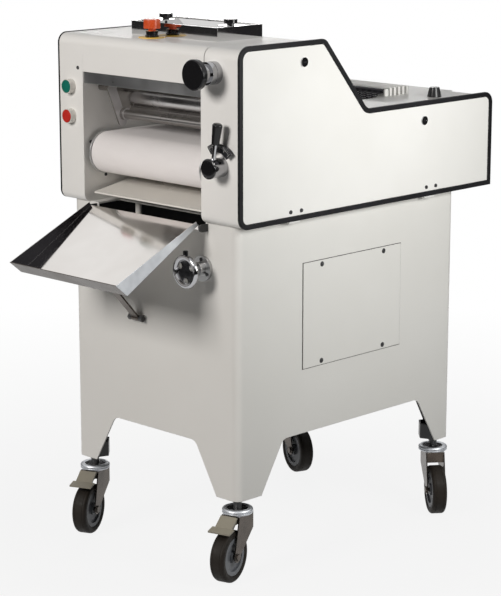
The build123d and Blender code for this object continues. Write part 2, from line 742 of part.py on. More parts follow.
# Castors: hooded swivel fork with axle, wheel hub, tyre, and a stepped brake pedal on the front pair
hub_r = WHEEL_R - TYRE_DEPTH
pedal_pin_z = fork_head_bottom - PEDAL_PIN_DROP
fork_outer = FORK_GAP / 2 + FORK_SHEET
fork_end = FORK_TOP_WIDTH / 2
fork_brow = FORK_DROP - WHEEL_R - FORK_BROW_GAP
for name, axis_x, axis_y, yaw, braked in castors:
    trail_dir = (cos(radians(yaw)), sin(radians(yaw)), 0)
    axle_dir = (sin(radians(yaw)), -cos(radians(yaw)), 0)
    axis_point = spot(axis_x, axis_y, -stand_top)
    swivel_plane = Plane(origin=axis_point, x_dir=trail_dir, z_dir=(0, 0, 1))
    wheel_plane = Plane(origin=axis_point, x_dir=trail_dir, z_dir=axle_dir)

    with BuildPart() as castor_fork:
        with BuildSketch(swivel_plane.offset(fork_head_bottom)):
            Circle(FORK_HEAD_R)
        extrude(amount=FORK_HEAD_T)
        with BuildSketch(swivel_plane.offset(fork_head_bottom - FORK_SHEET)):
            Rectangle(FORK_TOP_WIDTH, 2 * fork_outer)
        extrude(amount=FORK_SHEET)
        with BuildSketch(swivel_plane.offset(fork_head_bottom - FORK_WAIST)):
            with Locations((-fork_end, 0)):
                Rectangle(FORK_SHEET, 2 * fork_outer, align=(Align.MIN, Align.CENTER))
        extrude(amount=FORK_WAIST)
        if not braked:
            with BuildSketch(swivel_plane.offset(fork_head_bottom - fork_brow)):
                with Locations((fork_end, 0)):
                    Rectangle(FORK_SHEET, 2 * fork_outer, align=(Align.MAX, Align.CENTER))
            extrude(amount=fork_brow)
        for cheek in (1, -1):
            with BuildSketch(wheel_plane.offset(cheek * (FORK_GAP + FORK_SHEET) / 2)):
                with BuildLine():
                    Polyline(
                        (-fork_end, fork_head_bottom),
                        (fork_end, fork_head_bottom),
                        (TRAIL + FORK_BOSS_R, WHEEL_R),
                        (TRAIL - FORK_BOSS_R, WHEEL_R),
                        (-fork_end, fork_head_bottom - FORK_WAIST),
                        close=True,
                    )
                make_face()
                with Locations((TRAIL, WHEEL_R)):
                    Circle(FORK_BOSS_R)
            extrude(amount=FORK_SHEET / 2, both=True)
            with BuildSketch(wheel_plane.offset(cheek * fork_outer)):
                with Locations((TRAIL, WHEEL_R)):
                    RegularPolygon(AXLE_HEAD_R, 6)
            extrude(amount=cheek * AXLE_HEAD_T)
        with BuildSketch(wheel_plane.offset(-fork_outer)):
            with Locations((TRAIL, WHEEL_R)):
                Circle(AXLE_R)
            if braked:
                with Locations((PEDAL_PIN_SHIFT, pedal_pin_z)):
                    Circle(PEDAL_PIN_R)
        extrude(amount=2 * fork_outer)
        with BuildSketch(swivel_plane.offset(fork_head_bottom - FORK_SHEET)):
            Circle(STEM_R + RUN_FIT)
        extrude(amount=FORK_SHEET + FORK_HEAD_T, mode=Mode.SUBTRACT)
    save(castor_fork, f"{name}_castor_fork")

    with BuildPart() as castor_hub:
        with BuildSketch(wheel_plane):
            with Locations((TRAIL, WHEEL_R)):
                Circle(hub_r)
                Circle(AXLE_R + RUN_FIT, mode=Mode.SUBTRACT)
        extrude(amount=HUB_WIDTH / 2, both=True)
        for cheek in (1, -1):
            with BuildSketch(wheel_plane.offset(cheek * HUB_WIDTH / 2)):
                with Locations((TRAIL, WHEEL_R)):
                    Circle(hub_r - 2 * HUB_RECESS)
                    Circle(AXLE_R + 2 * HUB_RECESS, mode=Mode.SUBTRACT)
            extrude(amount=-cheek * HUB_RECESS, mode=Mode.SUBTRACT)
    save(castor_hub, f"{name}_castor_hub")

    with BuildPart() as castor_tyre:
        with BuildSketch(wheel_plane):
            with Locations((TRAIL, WHEEL_R)):
                Circle(WHEEL_R)
        extrude(amount=WHEEL_WIDTH / 2, both=True)
        fillet(castor_tyre.edges().filter_by(GeomType.CIRCLE), TYRE_EDGE_R)
        with BuildSketch(wheel_plane):
            with Locations((TRAIL, WHEEL_R)):
                Circle(hub_r)
        extrude(amount=WHEEL_WIDTH, both=True, mode=Mode.SUBTRACT)
    save(castor_tyre, f"{name}_castor_tyre")

    if braked:
        eye_r = PEDAL_PIN_R + PEDAL_T
        ramp_angle = atan2(PEDAL_RAMP_TOP - PEDAL_RAMP_FOOT, PEDAL_RAMP_FRONT - PEDAL_RAMP_BACK)
        inward = PEDAL_T * sin(ramp_angle)
        below = PEDAL_T * cos(ramp_angle)
        ramp_back = (PEDAL_RAMP_BACK, PEDAL_RAMP_TOP)
        ramp_front = (PEDAL_RAMP_FRONT, PEDAL_RAMP_FOOT)
        ramp_root = (PEDAL_RAMP_BACK - inward, PEDAL_RAMP_TOP - below)
        ramp_sole = (PEDAL_RAMP_FRONT - inward, PEDAL_RAMP_FOOT - below)
        ramp_mid = ((ramp_root[0] + ramp_sole[0]) / 2, (ramp_root[1] + ramp_sole[1]) / 2)
        lip_tip = (PEDAL_LIP_FRONT, PEDAL_LIP_FOOT)
        lip_sole = (PEDAL_LIP_FRONT, PEDAL_LIP_FOOT - PEDAL_T)
        pin_plane = wheel_plane.shift_origin(wheel_plane.from_local_coords((PEDAL_PIN_SHIFT, pedal_pin_z, 0)))
        with BuildPart() as brake_pedal:
            with BuildSketch(pin_plane):
                with BuildLine():
                    Polyline((0, eye_r), ramp_mid, ramp_front, (0, -eye_r), close=True)
                make_face()
                Circle(eye_r)
            extrude(amount=PEDAL_ARM_WIDTH / 2, both=True)
            with BuildSketch(pin_plane):
                with BuildLine():
                    Polyline(ramp_back, ramp_front, ramp_sole, ramp_root, close=True)
                make_face()
            extrude(amount=PEDAL_RAMP_WIDTH / 2, both=True)
            with BuildSketch(pin_plane):
                with BuildLine():
                    Polyline(ramp_front, lip_tip, lip_sole, ramp_sole, close=True)
                make_face()
            extrude(amount=PEDAL_LIP_WIDTH / 2, both=True)
            with BuildSketch(pin_plane):
                Circle(PEDAL_PIN_R + RUN_FIT)
            extrude(amount=PEDAL_ARM_WIDTH, both=True, mode=Mode.SUBTRACT)
        save(brake_pedal, f"{name}_brake_pedal")

# Left casing: folded sheet round the outline, with the bearing wall towards the belt
with BuildPart() as left_casing:
    with BuildSketch(side(left_x)):
        with BuildLine():
            FilletPolyline(*head_outline(0, 0, 0), radius=head_radii(0), close=True)
        make_face()
    extrude(amount=LEFT_CASING_W)
    with BuildSketch(side(left_x)):
        with BuildLine():
            FilletPolyline(
                *head_outline(-CASING_SHEET, -CASING_SHEET, -CASING_SHEET),
                radius=head_radii(-CASING_SHEET),
                close=True,
            )
        make_face()
    extrude(amount=LEFT_CASING_W - INNER_WALL_T, mode=Mode.SUBTRACT)
    with BuildSketch(side(inner_left - INNER_WALL_T)):
        with Locations(*shaft_points):
            Circle(BEARING_R)
    extrude(amount=-LEFT_BEARING_L)
    with BuildSketch(side(inner_left)):
        with Locations(*shaft_points):
            Circle(SHAFT_R + RUN_FIT)
    extrude(amount=-INNER_WALL_T - LEFT_BEARING_L, mode=Mode.SUBTRACT)
    with BuildSketch(front(0)):
        with Locations((button_x, start_z), (button_x, stop_z)):
            Circle(BUTTON_HOLE_R)
    extrude(amount=-CASING_SHEET, mode=Mode.SUBTRACT)
save(left_casing, "left_casing")

# Right casing with the drive: bearing wall, cover lap, chain slot, control shaft holes and fixed cover hinges
with BuildPart() as right_casing:
    with BuildSketch(side(inner_right)):
        with BuildLine():
            FilletPolyline(*head_outline(0, 0, 0), radius=head_radii(0), close=True)
        make_face()
    extrude(amount=RIGHT_CASING_W)
    with BuildSketch(side(inner_right + INNER_WALL_T)):
        with BuildLine():
            FilletPolyline(
                *head_outline(-CASING_SHEET, -CASING_SHEET, -CASING_SHEET),
                radius=head_radii(-CASING_SHEET),
                close=True,
            )
        make_face()
    extrude(amount=RIGHT_CASING_W - INNER_WALL_T, mode=Mode.SUBTRACT)
    with BuildSketch(side(inner_right + INNER_WALL_T)):
        with Locations(*shaft_points):
            Circle(BEARING_R)
    extrude(amount=BEARING_L)
    with BuildSketch(side(inner_right)):
        with Locations(*shaft_points):
            Circle(SHAFT_R + RUN_FIT)
    extrude(amount=INNER_WALL_T + BEARING_L, mode=Mode.SUBTRACT)
    with BuildSketch(side(inner_right)):
        with BuildLine():
            FilletPolyline(*cover_outline(), radius=cover_radii, close=True)
        make_face()
    extrude(amount=COVER_LAP, mode=Mode.SUBTRACT)
    with BuildSketch(front(0)):
        with Locations(gap_knob_point, (lever_x, LEVER_Z)):
            Circle(CONTROL_SHAFT_R + RUN_FIT)
    extrude(amount=-CASING_SHEET, mode=Mode.SUBTRACT)
    with BuildSketch(level(DECK_HEIGHT)):
        with Locations(deck_knob_point):
            Circle(DECK_KNOB_STEM_R + RUN_FIT)
    extrude(amount=-CASING_SHEET, mode=Mode.SUBTRACT)
    with BuildSketch(level(0)):
        with Locations((chain_x, (CHAIN_SLOT_START + CHAIN_SLOT_END) / 2)):
            Rectangle(CHAIN_SLOT_W, CHAIN_SLOT_END - CHAIN_SLOT_START)
        for hinge_y in hinge_points:
            with Locations((right_x, hinge_y)):
                Rectangle(2 * (HINGE_INSET - HINGE_PIN_R / 2), HINGE_WIDTH / 2 + 2 * SEAM_GAP)
    extrude(amount=CASING_SHEET, mode=Mode.SUBTRACT)
    hinge_plate_w = hinge_x - STAND_WIDTH / 2 - SEAM_GAP
    for hinge_y in hinge_points:
        for lug in (1, -1):
            lug_y = hinge_y + lug * HINGE_WIDTH * 3 / 8
            lug_w = HINGE_WIDTH / 4 - MOVE_GAP
            with BuildSketch(level(0)):
                with Locations((hinge_x - hinge_plate_w / 2, lug_y)):
                    Rectangle(hinge_plate_w, lug_w)
            extrude(amount=-CASING_SHEET)
            with BuildSketch(front(lug_y)):
                with Locations((hinge_x, -HINGE_DROP)):
                    Circle(HINGE_R)
            extrude(amount=lug_w / 2, both=True)
        with BuildSketch(front(hinge_y)):
            with Locations((hinge_x, -HINGE_DROP)):
                Circle(HINGE_PIN_R)
        extrude(amount=HINGE_WIDTH / 2 - MOVE_GAP, both=True)
save(right_casing, "right_casing")

# Front and top cover: one bent sheet from the left casing to the lap on the right one, with the feed opening
with BuildPart() as front_cover:
    with BuildSketch(side(inner_left)):
        with BuildLine():
            FilletPolyline(*cover_outline(), radius=cover_radii, close=True)
        make_face()
    extrude(amount=inner_right + COVER_LAP - COVER_SEAM - inner_left)
    with BuildSketch(level(CASING_HEIGHT)):
        with Locations((HOPPER_X, HOPPER_Y + HOPPER_LENGTH / 2)):
            Rectangle(HOPPER_WIDTH - 2 * HOPPER_SHEET, HOPPER_LENGTH - 2 * HOPPER_SHEET)
    extrude(amount=-CASING_SHEET, mode=Mode.SUBTRACT)
save(front_cover, "front_cover")

# Rear cover: deck plate with side ledges, rear wall, mesh ribs and the mesh hanger bar
with BuildPart() as rear_cover:
    with BuildSketch(level(DECK_HEIGHT - REAR_COVER_T)):
        with BuildLine():
            Polyline(
                (inner_left, REAR_LEDGE_START),
                (inner_left + REAR_LEDGE_W, REAR_LEDGE_START),
                (inner_left + REAR_LEDGE_W, REAR_COVER_START),
                (inner_right - REAR_LEDGE_W, REAR_COVER_START),
                (inner_right - REAR_LEDGE_W, REAR_LEDGE_START),
                (inner_right, REAR_LEDGE_START),
                (inner_right, CASING_LENGTH),
                (inner_left, CASING_LENGTH),
                close=True,
            )
        make_face()
    extrude(amount=REAR_COVER_T)
    with BuildSketch(side(inner_left)):
        with Locations((CASING_LENGTH - REAR_COVER_T / 2, DECK_HEIGHT / 2)):
            Rectangle(REAR_COVER_T, DECK_HEIGHT)
    extrude(amount=inner_right - inner_left)
    with BuildSketch(side(mesh_left - MESH_LUG_T)):
        for n in range(RIB_COUNT):
            with Locations((RIB_FIRST_Y + n * RIB_PITCH, DECK_HEIGHT + RIB_HEIGHT / 2)):
                Rectangle(RIB_T, RIB_HEIGHT)
    extrude(amount=mesh_right - mesh_left + 2 * MESH_LUG_T)
    for lug_x in (mesh_left - MESH_LUG_T, mesh_right):
        with BuildSketch(side(lug_x)):
            with Locations((MESH_BAR_Y, DECK_HEIGHT + MESH_BAR_LIFT / 2)):
                Rectangle(2 * MESH_SLEEVE_R, MESH_BAR_LIFT)
            with Locations((MESH_BAR_Y, mesh_bar_z)):
                Circle(MESH_SLEEVE_R)
        extrude(amount=MESH_LUG_T)
    with BuildSketch(side(mesh_left)):
        with Locations((MESH_BAR_Y, mesh_bar_z)):
            Circle(MESH_BAR_R)
    extrude(amount=mesh_right - mesh_left)
save(rear_cover, "rear_cover")

# Chain mesh: a flat net on a sleeve that turns on the hanger bar
mesh_width = mesh_right - mesh_left - 2 * MOVE_GAP
net_start = MESH_SLEEVE_R - MESH_T / 2
net_length = MESH_LENGTH - net_start
column_pitch = (mesh_width - MESH_WIRE) / MESH_COLUMNS
row_pitch = (net_length - 2 * MESH_WIRE) / MESH_ROWS
tilt = asin((mesh_bar_z - belt_top - MESH_BELT_GAP) / MESH_LENGTH)
mesh_plane = Plane(
    origin=spot((mesh_left + mesh_right) / 2, MESH_BAR_Y, mesh_bar_z),
    x_dir=(1, 0, 0),
    z_dir=(0, -sin(tilt), cos(tilt)),
)
with BuildPart() as chain_mesh:
    with BuildSketch(side(mesh_left + MOVE_GAP)):
        with Locations((MESH_BAR_Y, mesh_bar_z)):
            Circle(MESH_SLEEVE_R)
            Circle(MESH_BAR_R + RUN_FIT, mode=Mode.SUBTRACT)
    extrude(amount=mesh_width)
    with BuildSketch(mesh_plane.offset(-MESH_T / 2)):
        with Locations((0, -net_start - net_length / 2)):
            Rectangle(mesh_width, net_length)
            with GridLocations(column_pitch, row_pitch, MESH_COLUMNS, MESH_ROWS):
                Rectangle(column_pitch - MESH_WIRE, row_pitch - MESH_WIRE, mode=Mode.SUBTRACT)
    extrude(amount=MESH_T)
save(chain_mesh, "chain_mesh")

# Left side cover, a flat plate inside the rubber edging
cover_ahead = TRIM_FRONT - TRIM_WIDTH
cover_over = TRIM_OVERHANG - TRIM_WIDTH
cover_under = TRIM_UNDERHANG - TRIM_WIDTH
left_cover_over = LEFT_TRIM_OVERHANG - LEFT_TRIM_WIDTH
with BuildPart() as left_side_cover:
    with BuildSketch(side(left_x)):
        with BuildLine():
            FilletPolyline(
                *head_outline(left_cover_over, left_cover_over, -LEFT_TRIM_WIDTH),
                radius=head_radii(left_cover_over),
                close=True,
            )
        make_face()
    extrude(amount=-COVER_T)
save(left_side_cover, "left_side_cover")

# Right side cover with its two hinge leaves, screw heads and latch holes
with BuildPart() as right_side_cover:
    with BuildSketch(side(right_x)):
        with BuildLine():
            FilletPolyline(
                *head_outline(cover_ahead, cover_over, cover_under),
                radius=head_radii(cover_over),
                close=True,
            )
        make_face()
        with Locations(*latch_points):
            Circle(LATCH_SHAFT_R + RUN_FIT, mode=Mode.SUBTRACT)
    extrude(amount=COVER_T)
    for hinge_y in hinge_points:
        with BuildSketch(side(right_x)):
            with Locations((hinge_y, -HINGE_DROP / 2 + CASING_SHEET)):
                Rectangle(HINGE_WIDTH / 2, HINGE_DROP + 2 * CASING_SHEET)
            with Locations((hinge_y, HINGE_SCREW_Z)):
                Rectangle(HINGE_LEAF_W, 2 * (HINGE_SCREW_Z - 2 * CASING_SHEET))
        extrude(amount=-HINGE_LEAF_T)
        with BuildSketch(front(hinge_y)):
            with Locations((hinge_x, -HINGE_DROP)):
                Circle(HINGE_R)
        extrude(amount=HINGE_WIDTH / 4, both=True)
        with BuildSketch(front(hinge_y)):
            with Locations((hinge_x, -HINGE_DROP)):
                Circle(HINGE_PIN_R + RUN_FIT)
        extrude(amount=HINGE_WIDTH / 4, both=True, mode=Mode.SUBTRACT)
        with BuildSketch(side(cover_face)):
            with Locations((hinge_y, HINGE_SCREW_Z)):
                with GridLocations(HINGE_SCREW_PITCH, 0, 2, 1):
                    Circle(SCREW_R)
        extrude(amount=SCREW_T)
save(right_side_cover, "right_side_cover")

# Rubber edging round the left cover
with BuildPart() as left_cover_trim:
    with BuildSketch(side(left_x)):
        with BuildLine():
            FilletPolyline(
                *head_outline(LEFT_TRIM_OVERHANG, LEFT_TRIM_OVERHANG, 0),
                radius=head_radii(LEFT_TRIM_OVERHANG),
                close=True,
            )
        make_face()
    extrude(amount=-LEFT_TRIM_T)
    with BuildSketch(side(left_x)):
        with BuildLine():
            FilletPolyline(
                *head_outline(left_cover_over, left_cover_over, -LEFT_TRIM_WIDTH),
                radius=head_radii(left_cover_over),
                close=True,
            )
        make_face()
    extrude(amount=-LEFT_TRIM_T, mode=Mode.SUBTRACT)
    fillet(left_cover_trim.faces().sort_by(Axis.X)[0].edges(), LEFT_TRIM_EDGE_R)
save(left_cover_trim, "left_cover_trim")

# Rubber edging round the right cover
with BuildPart() as right_cover_trim:
    with BuildSketch(side(right_x)):
        with BuildLine():
            FilletPolyline(
                *head_outline(TRIM_FRONT, TRIM_OVERHANG, TRIM_UNDERHANG),
                radius=head_radii(TRIM_OVERHANG),
                close=True,
            )
        make_face()
    extrude(amount=TRIM_T)
    with BuildSketch(side(right_x)):
        with BuildLine():
            FilletPolyline(
                *head_outline(cover_ahead, cover_over, cover_under),
                radius=head_radii(cover_over),
                close=True,
            )
        make_face()
    extrude(amount=TRIM_T, mode=Mode.SUBTRACT)
    fillet(right_cover_trim.faces().sort_by(Axis.X)[-1].edges(), TRIM_EDGE_R)
save(right_cover_trim, "right_cover_trim")

# Quarter-turn latches of the right cover
for name, point in (("front_cover_latch", latch_points[0]), ("rear_cover_latch", latch_points[1])):
    head_t = TRIM_T - COVER_T - MOVE_GAP
    with BuildPart() as cover_latch:
        with BuildSketch(side(cover_face + MOVE_GAP)):
            with Locations(point):
                Circle(LATCH_R)
        extrude(amount=head_t)
        with BuildSketch(side(cover_face + MOVE_GAP + head_t)):
            with Locations(point):
                Rectangle(LATCH_R, LATCH_SLOT)
        extrude(amount=-head_t / 2, mode=Mode.SUBTRACT)
        with BuildSketch(side(cover_face + MOVE_GAP)):
            with Locations(point):
                Circle(LATCH_SHAFT_R)
        extrude(amount=-MOVE_GAP - COVER_T - 4 * LATCH_SLOT)
        with BuildSketch(side(right_x - 3 * LATCH_SLOT)):
            with Locations((point[0], point[1] - LATCH_R / 2)):
                Rectangle(2 * LATCH_SHAFT_R, 2 * LATCH_R)
        extrude(amount=-LATCH_SLOT)
    save(cover_latch, name)

# Feed hopper: open box with sloping feed plates and two lands for the thumb knobs
hopper_left = HOPPER_X - HOPPER_WIDTH / 2
hopper_mid = HOPPER_Y + HOPPER_LENGTH / 2
throat_mid = ROLLER_Y + ROLLER_PITCH / 2
guide_bottom = roller_z + GUIDE_LIFT
guide_top = hopper_top - 2 * HOPPER_SHEET
with BuildPart() as hopper:
    with BuildSketch(level(CASING_HEIGHT)):
        with Locations((HOPPER_X, hopper_mid)):
            Rectangle(HOPPER_WIDTH, HOPPER_LENGTH)
            Rectangle(
                HOPPER_WIDTH - 2 * HOPPER_SHEET, HOPPER_LENGTH - 2 * HOPPER_SHEET, mode=Mode.SUBTRACT
            )
    extrude(amount=HOPPER_HEIGHT)
    for wall_y, sy in ((HOPPER_Y, 1), (HOPPER_Y + HOPPER_LENGTH, -1)):
        lip_y = throat_mid - sy * THROAT / 2
        with BuildSketch(side(hopper_left + HOPPER_SHEET)):
            with BuildLine():
                Polyline(
                    (wall_y + sy * HOPPER_SHEET, guide_top),
                    (lip_y, guide_bottom),
                    (lip_y - sy * HOPPER_SHEET, guide_bottom - HOPPER_SHEET),
                    (wall_y + sy * HOPPER_SHEET, guide_top - 3 * HOPPER_SHEET),
                    close=True,
                )
            make_face()
        extrude(amount=HOPPER_WIDTH - 2 * HOPPER_SHEET)
    for wall_x, sx in ((hopper_left, 1), (hopper_left + HOPPER_WIDTH, -1)):
        with BuildSketch(level(hopper_top - HOPPER_SHEET)):
            with Locations((wall_x + sx * (HOPPER_SHEET + THUMB_LAND / 2), THUMB_Y)):
                Rectangle(THUMB_LAND, THUMB_LAND)
            with Locations((THUMB_X - sx * THUMB_PITCH / 2, THUMB_Y)):
                Circle(THUMB_STUD_R + RUN_FIT, mode=Mode.SUBTRACT)
        extrude(amount=HOPPER_SHEET)
save(hopper, "hopper")

# Thumb knobs that clamp the hopper
for name, sx in (("left_thumb_knob", -1), ("right_thumb_knob", 1)):
    thumb_point = (THUMB_X + sx * THUMB_PITCH / 2, THUMB_Y)
    with BuildPart() as thumb_knob:
        with BuildSketch(level(hopper_top + MOVE_GAP)):
            with Locations(thumb_point):
                Circle(THUMB_NECK_R)
        extrude(amount=THUMB_NECK_T)
        with BuildSketch(level(hopper_top + MOVE_GAP + THUMB_NECK_T)):
            with Locations(thumb_point):
                Circle(THUMB_HEAD_R)
        extrude(amount=THUMB_HEAD_T)
        fillet(thumb_knob.faces().sort_by(Axis.Z)[-1].edges(), HOPPER_SHEET)
        with BuildSketch(level(hopper_top + MOVE_GAP)):
            with Locations(thumb_point):
                Circle(THUMB_STUD_R)
        extrude(amount=-THUMB_STUD_L)
    save(thumb_knob, name)

# Sheeting rollers: each with its shaft and spur gear, the front one also with its sprocket
roller_left = inner_left + DRUM_SIDE_GAP
roller_right = inner_right - DRUM_SIDE_GAP
shaft_left = gear_x - GEAR_FACE
gear_r = ROLLER_PITCH / 2
tooth_half = pi * gear_r / GEAR_TEETH / 2 - GEAR_BACKLASH / 2
tooth_root = tooth_half + GEAR_DEDENDUM / 3
tooth_tip = tooth_half - GEAR_ADDENDUM / 3
tooth_step = 360.0 / GEAR_TEETH
root_r = gear_r - GEAR_DEDENDUM
for name, roller_y, driven in (
    ("front_sheeting_roller", ROLLER_Y, True),
    ("rear_sheeting_roller", rear_roller_y, False),
):
    shaft_right = chain_x + CHAIN_W if driven else inner_right + INNER_WALL_T + BEARING_L
    with BuildPart() as sheeting_roller:
        with BuildSketch(side(roller_left)):
            with Locations((roller_y, roller_z)):
                Circle(ROLLER_R)
        extrude(amount=roller_right - roller_left)
        with BuildSketch(side(shaft_left)):
            with Locations((roller_y, roller_z)):
                Circle(SHAFT_R)
        extrude(amount=shaft_right - shaft_left)
        with BuildSketch(side(shaft_left)):
            with Locations((roller_y, roller_z)):
                Circle(root_r)
                with PolarLocations(0, GEAR_TEETH, 0):
                    Polygon(
                        (root_r - GEAR_ADDENDUM, -tooth_root),
                        (gear_r + GEAR_ADDENDUM, -tooth_tip),
                        (gear_r + GEAR_ADDENDUM, tooth_tip),
                        (root_r - GEAR_ADDENDUM, tooth_root),
                        align=None,
                    )
        extrude(amount=GEAR_FACE)
        if driven:
            rim_r = ROLLER_SPROCKET_R - CHAIN_T / 2 - MOVE_GAP
            with BuildSketch(side(chain_x - SPROCKET_T / 2)):
                with Locations((roller_y, roller_z)):
                    Circle(rim_r)
                    with PolarLocations(rim_r, SPROCKET_NOTCHES):
                        Circle(NOTCH_DEPTH_R, mode=Mode.SUBTRACT)
            extrude(amount=SPROCKET_T)
    save(sheeting_roller, name)

# Belt drums with end flanges and shafts, the front one with the driven sprocket
for name, drum_y, driven in (("front_drum", DRUM_Y, True), ("rear_drum", rear_drum_y, False)):
    shaft_right = chain_x + CHAIN_W if driven else inner_right + INNER_WALL_T + BEARING_L
    shaft_start = inner_left - INNER_WALL_T - LEFT_BEARING_L
    with BuildPart() as belt_drum:
        with BuildSketch(side(roller_left)):
            with Locations((drum_y, DRUM_Z)):
                Circle(DRUM_R)
        extrude(amount=roller_right - roller_left)
        for flange_x in (roller_left, roller_right - DRUM_FLANGE_T):
            with BuildSketch(side(flange_x)):
                with Locations((drum_y, DRUM_Z)):
                    Circle(DRUM_FLANGE_R)
            extrude(amount=DRUM_FLANGE_T)
        with BuildSketch(side(shaft_start)):
            with Locations((drum_y, DRUM_Z)):
                Circle(SHAFT_R)
        extrude(amount=shaft_right - shaft_start)
        if driven:
            rim_r = DRUM_SPROCKET_R - CHAIN_T / 2 - MOVE_GAP
            with BuildSketch(side(chain_x - SPROCKET_T / 2)):
                with Locations((drum_y, DRUM_Z)):
                    Circle(rim_r)
                    with PolarLocations(rim_r, SPROCKET_NOTCHES):
                        Circle(NOTCH_DEPTH_R, mode=Mode.SUBTRACT)
            extrude(amount=SPROCKET_T)
    save(belt_drum, name)

# Endless moulding belt round both drums
belt_left = roller_left + BELT_EDGE
belt_width = roller_right - roller_left - 2 * BELT_EDGE
with BuildPart() as conveyor_belt:
    with BuildSketch(side(belt_left)):
        with Locations((DRUM_Y, DRUM_Z), (rear_drum_y, DRUM_Z)):
            Circle(belt_r)
        make_hull()
    extrude(amount=belt_width)
    with BuildSketch(side(belt_left)):
        with Locations((DRUM_Y, DRUM_Z), (rear_drum_y, DRUM_Z)):
            Circle(belt_r - BELT_T)
        make_hull()
    extrude(amount=belt_width, mode=Mode.SUBTRACT)
save(conveyor_belt, "conveyor_belt")

# Bed plate under the belt's top run, carried by both bearing walls
bed_top = belt_top - BELT_T - BED_GAP
with BuildPart() as belt_bed:
    with BuildSketch(side(inner_left)):
        with Locations((DRUM_Y + DRUM_PITCH / 2, bed_top - BED_T / 2)):
            Rectangle(DRUM_PITCH - 2 * BED_MARGIN, BED_T)
    extrude(amount=inner_right - inner_left)
save(belt_bed, "belt_bed")

# Roller scraper: two hanging arms, cross rod with collars, and the blade
scraper_pivot = (SCRAPER_PIVOT_Y, roller_z + SCRAPER_PIVOT_RISE)
scraper_end = (SCRAPER_END_Y, roller_z - SCRAPER_END_DROP)
scraper_rod = (SCRAPER_ROD_Y, roller_z - SCRAPER_ROD_DROP)
arm_pairs = [
    (inner_left, SCRAPER_ARM_OUTSET, 1),
    (inner_right, SCRAPER_ARM_OUTSET, -1),
]
blade_angle = atan2(SCRAPER_ROD_DROP, ROLLER_Y - SCRAPER_ROD_Y)
blade_reach = hypot(SCRAPER_ROD_DROP, ROLLER_Y - SCRAPER_ROD_Y) - ROLLER_R - SCRAPER_BLADE_GAP
rod_left = inner_left + SCRAPER_ARM_OUTSET
rod_right = inner_right - SCRAPER_ARM_OUTSET
blade_plane = Plane(
    origin=spot(rod_left + SCRAPER_COLLAR_T, *scraper_rod),
    x_dir=(0, cos(blade_angle), sin(blade_angle)),
    z_dir=(1, 0, 0),
)
with BuildPart() as scraper:
    for wall_x, outset, sx in arm_pairs:
        with BuildSketch(side(wall_x + sx * (outset - SCRAPER_ARM_T))):
            with Locations(scraper_pivot, scraper_end):
                Circle(SCRAPER_ARM_W / 2)
            make_hull()
        extrude(amount=sx * SCRAPER_ARM_T)
        with BuildSketch(side(wall_x)):
            with Locations(scraper_pivot):
                Circle(SCRAPER_ARM_W / 3)
        extrude(amount=sx * outset)
        with BuildSketch(side(wall_x + sx * outset)):
            with Locations(scraper_rod):
                Circle(SCRAPER_COLLAR_R)
        extrude(amount=sx * SCRAPER_COLLAR_T)
    with BuildSketch(side(rod_left)):
        with Locations(scraper_rod):
            Circle(SCRAPER_ROD_R)
    extrude(amount=rod_right - rod_left)
    with BuildSketch(blade_plane):
        with Locations((blade_reach / 2, 0)):
            Rectangle(blade_reach, SCRAPER_BLADE_T)
    extrude(amount=rod_right - rod_left - 2 * SCRAPER_COLLAR_T)
save(scraper, "scraper")

# Polished guard under the front cover's lower edge
guard_lower = opening_top - GUARD_FACE
with BuildPart() as front_guard:
    with BuildSketch(side(inner_left)):
        with BuildLine():
            Polyline(
                (CASING_SHEET, opening_top + GUARD_LAP),
                (CASING_SHEET, guard_lower),
                (CASING_SHEET + GUARD_DEPTH, guard_lower),
                (CASING_SHEET + GUARD_DEPTH, guard_lower + GUARD_SHEET),
                (CASING_SHEET + GUARD_SHEET, guard_lower + GUARD_SHEET),
                (CASING_SHEET + GUARD_SHEET, opening_top + GUARD_LAP),
                close=True,
            )
        make_face()
    extrude(amount=inner_right - inner_left)
save(front_guard, "front_guard")

# Pressing board under the belt, with stiffening ribs and four guide pins through the stand top
board_rear = BOARD_FRONT_Y + BOARD_LENGTH
with BuildPart() as pressing_board:
    with BuildSketch(side(board_left)):
        with BuildLine():
            Polyline(
                (BOARD_FRONT_Y, BOARD_FRONT_Z),
                (BOARD_FLAT_Y, BOARD_Z),
                (board_rear, BOARD_Z),
                (board_rear, BOARD_Z - BOARD_T),
                (BOARD_FLAT_Y, BOARD_Z - BOARD_T),
                (BOARD_FRONT_Y, BOARD_FRONT_Z - BOARD_T),
                close=True,
            )
        make_face()
    extrude(amount=board_right - board_left)
    for rib_x in pin_xs:
        with BuildSketch(side(rib_x - BOARD_RIB_T / 2)):
            with Locations(((BOARD_FLAT_Y + board_rear) / 2, BOARD_Z - BOARD_T - BOARD_RIB_H / 2)):
                Rectangle(board_rear - BOARD_FLAT_Y, BOARD_RIB_H)
        extrude(amount=BOARD_RIB_T)
    with BuildSketch(level(BOARD_Z - BOARD_T)):
        for pin_y in (PIN_FRONT_Y, PIN_REAR_Y):
            with Locations(*[(pin_x, pin_y) for pin_x in pin_xs]):
                Circle(PIN_R)
    extrude(amount=-BOARD_Z + BOARD_T - PIN_DROP)
save(pressing_board, "pressing_board")

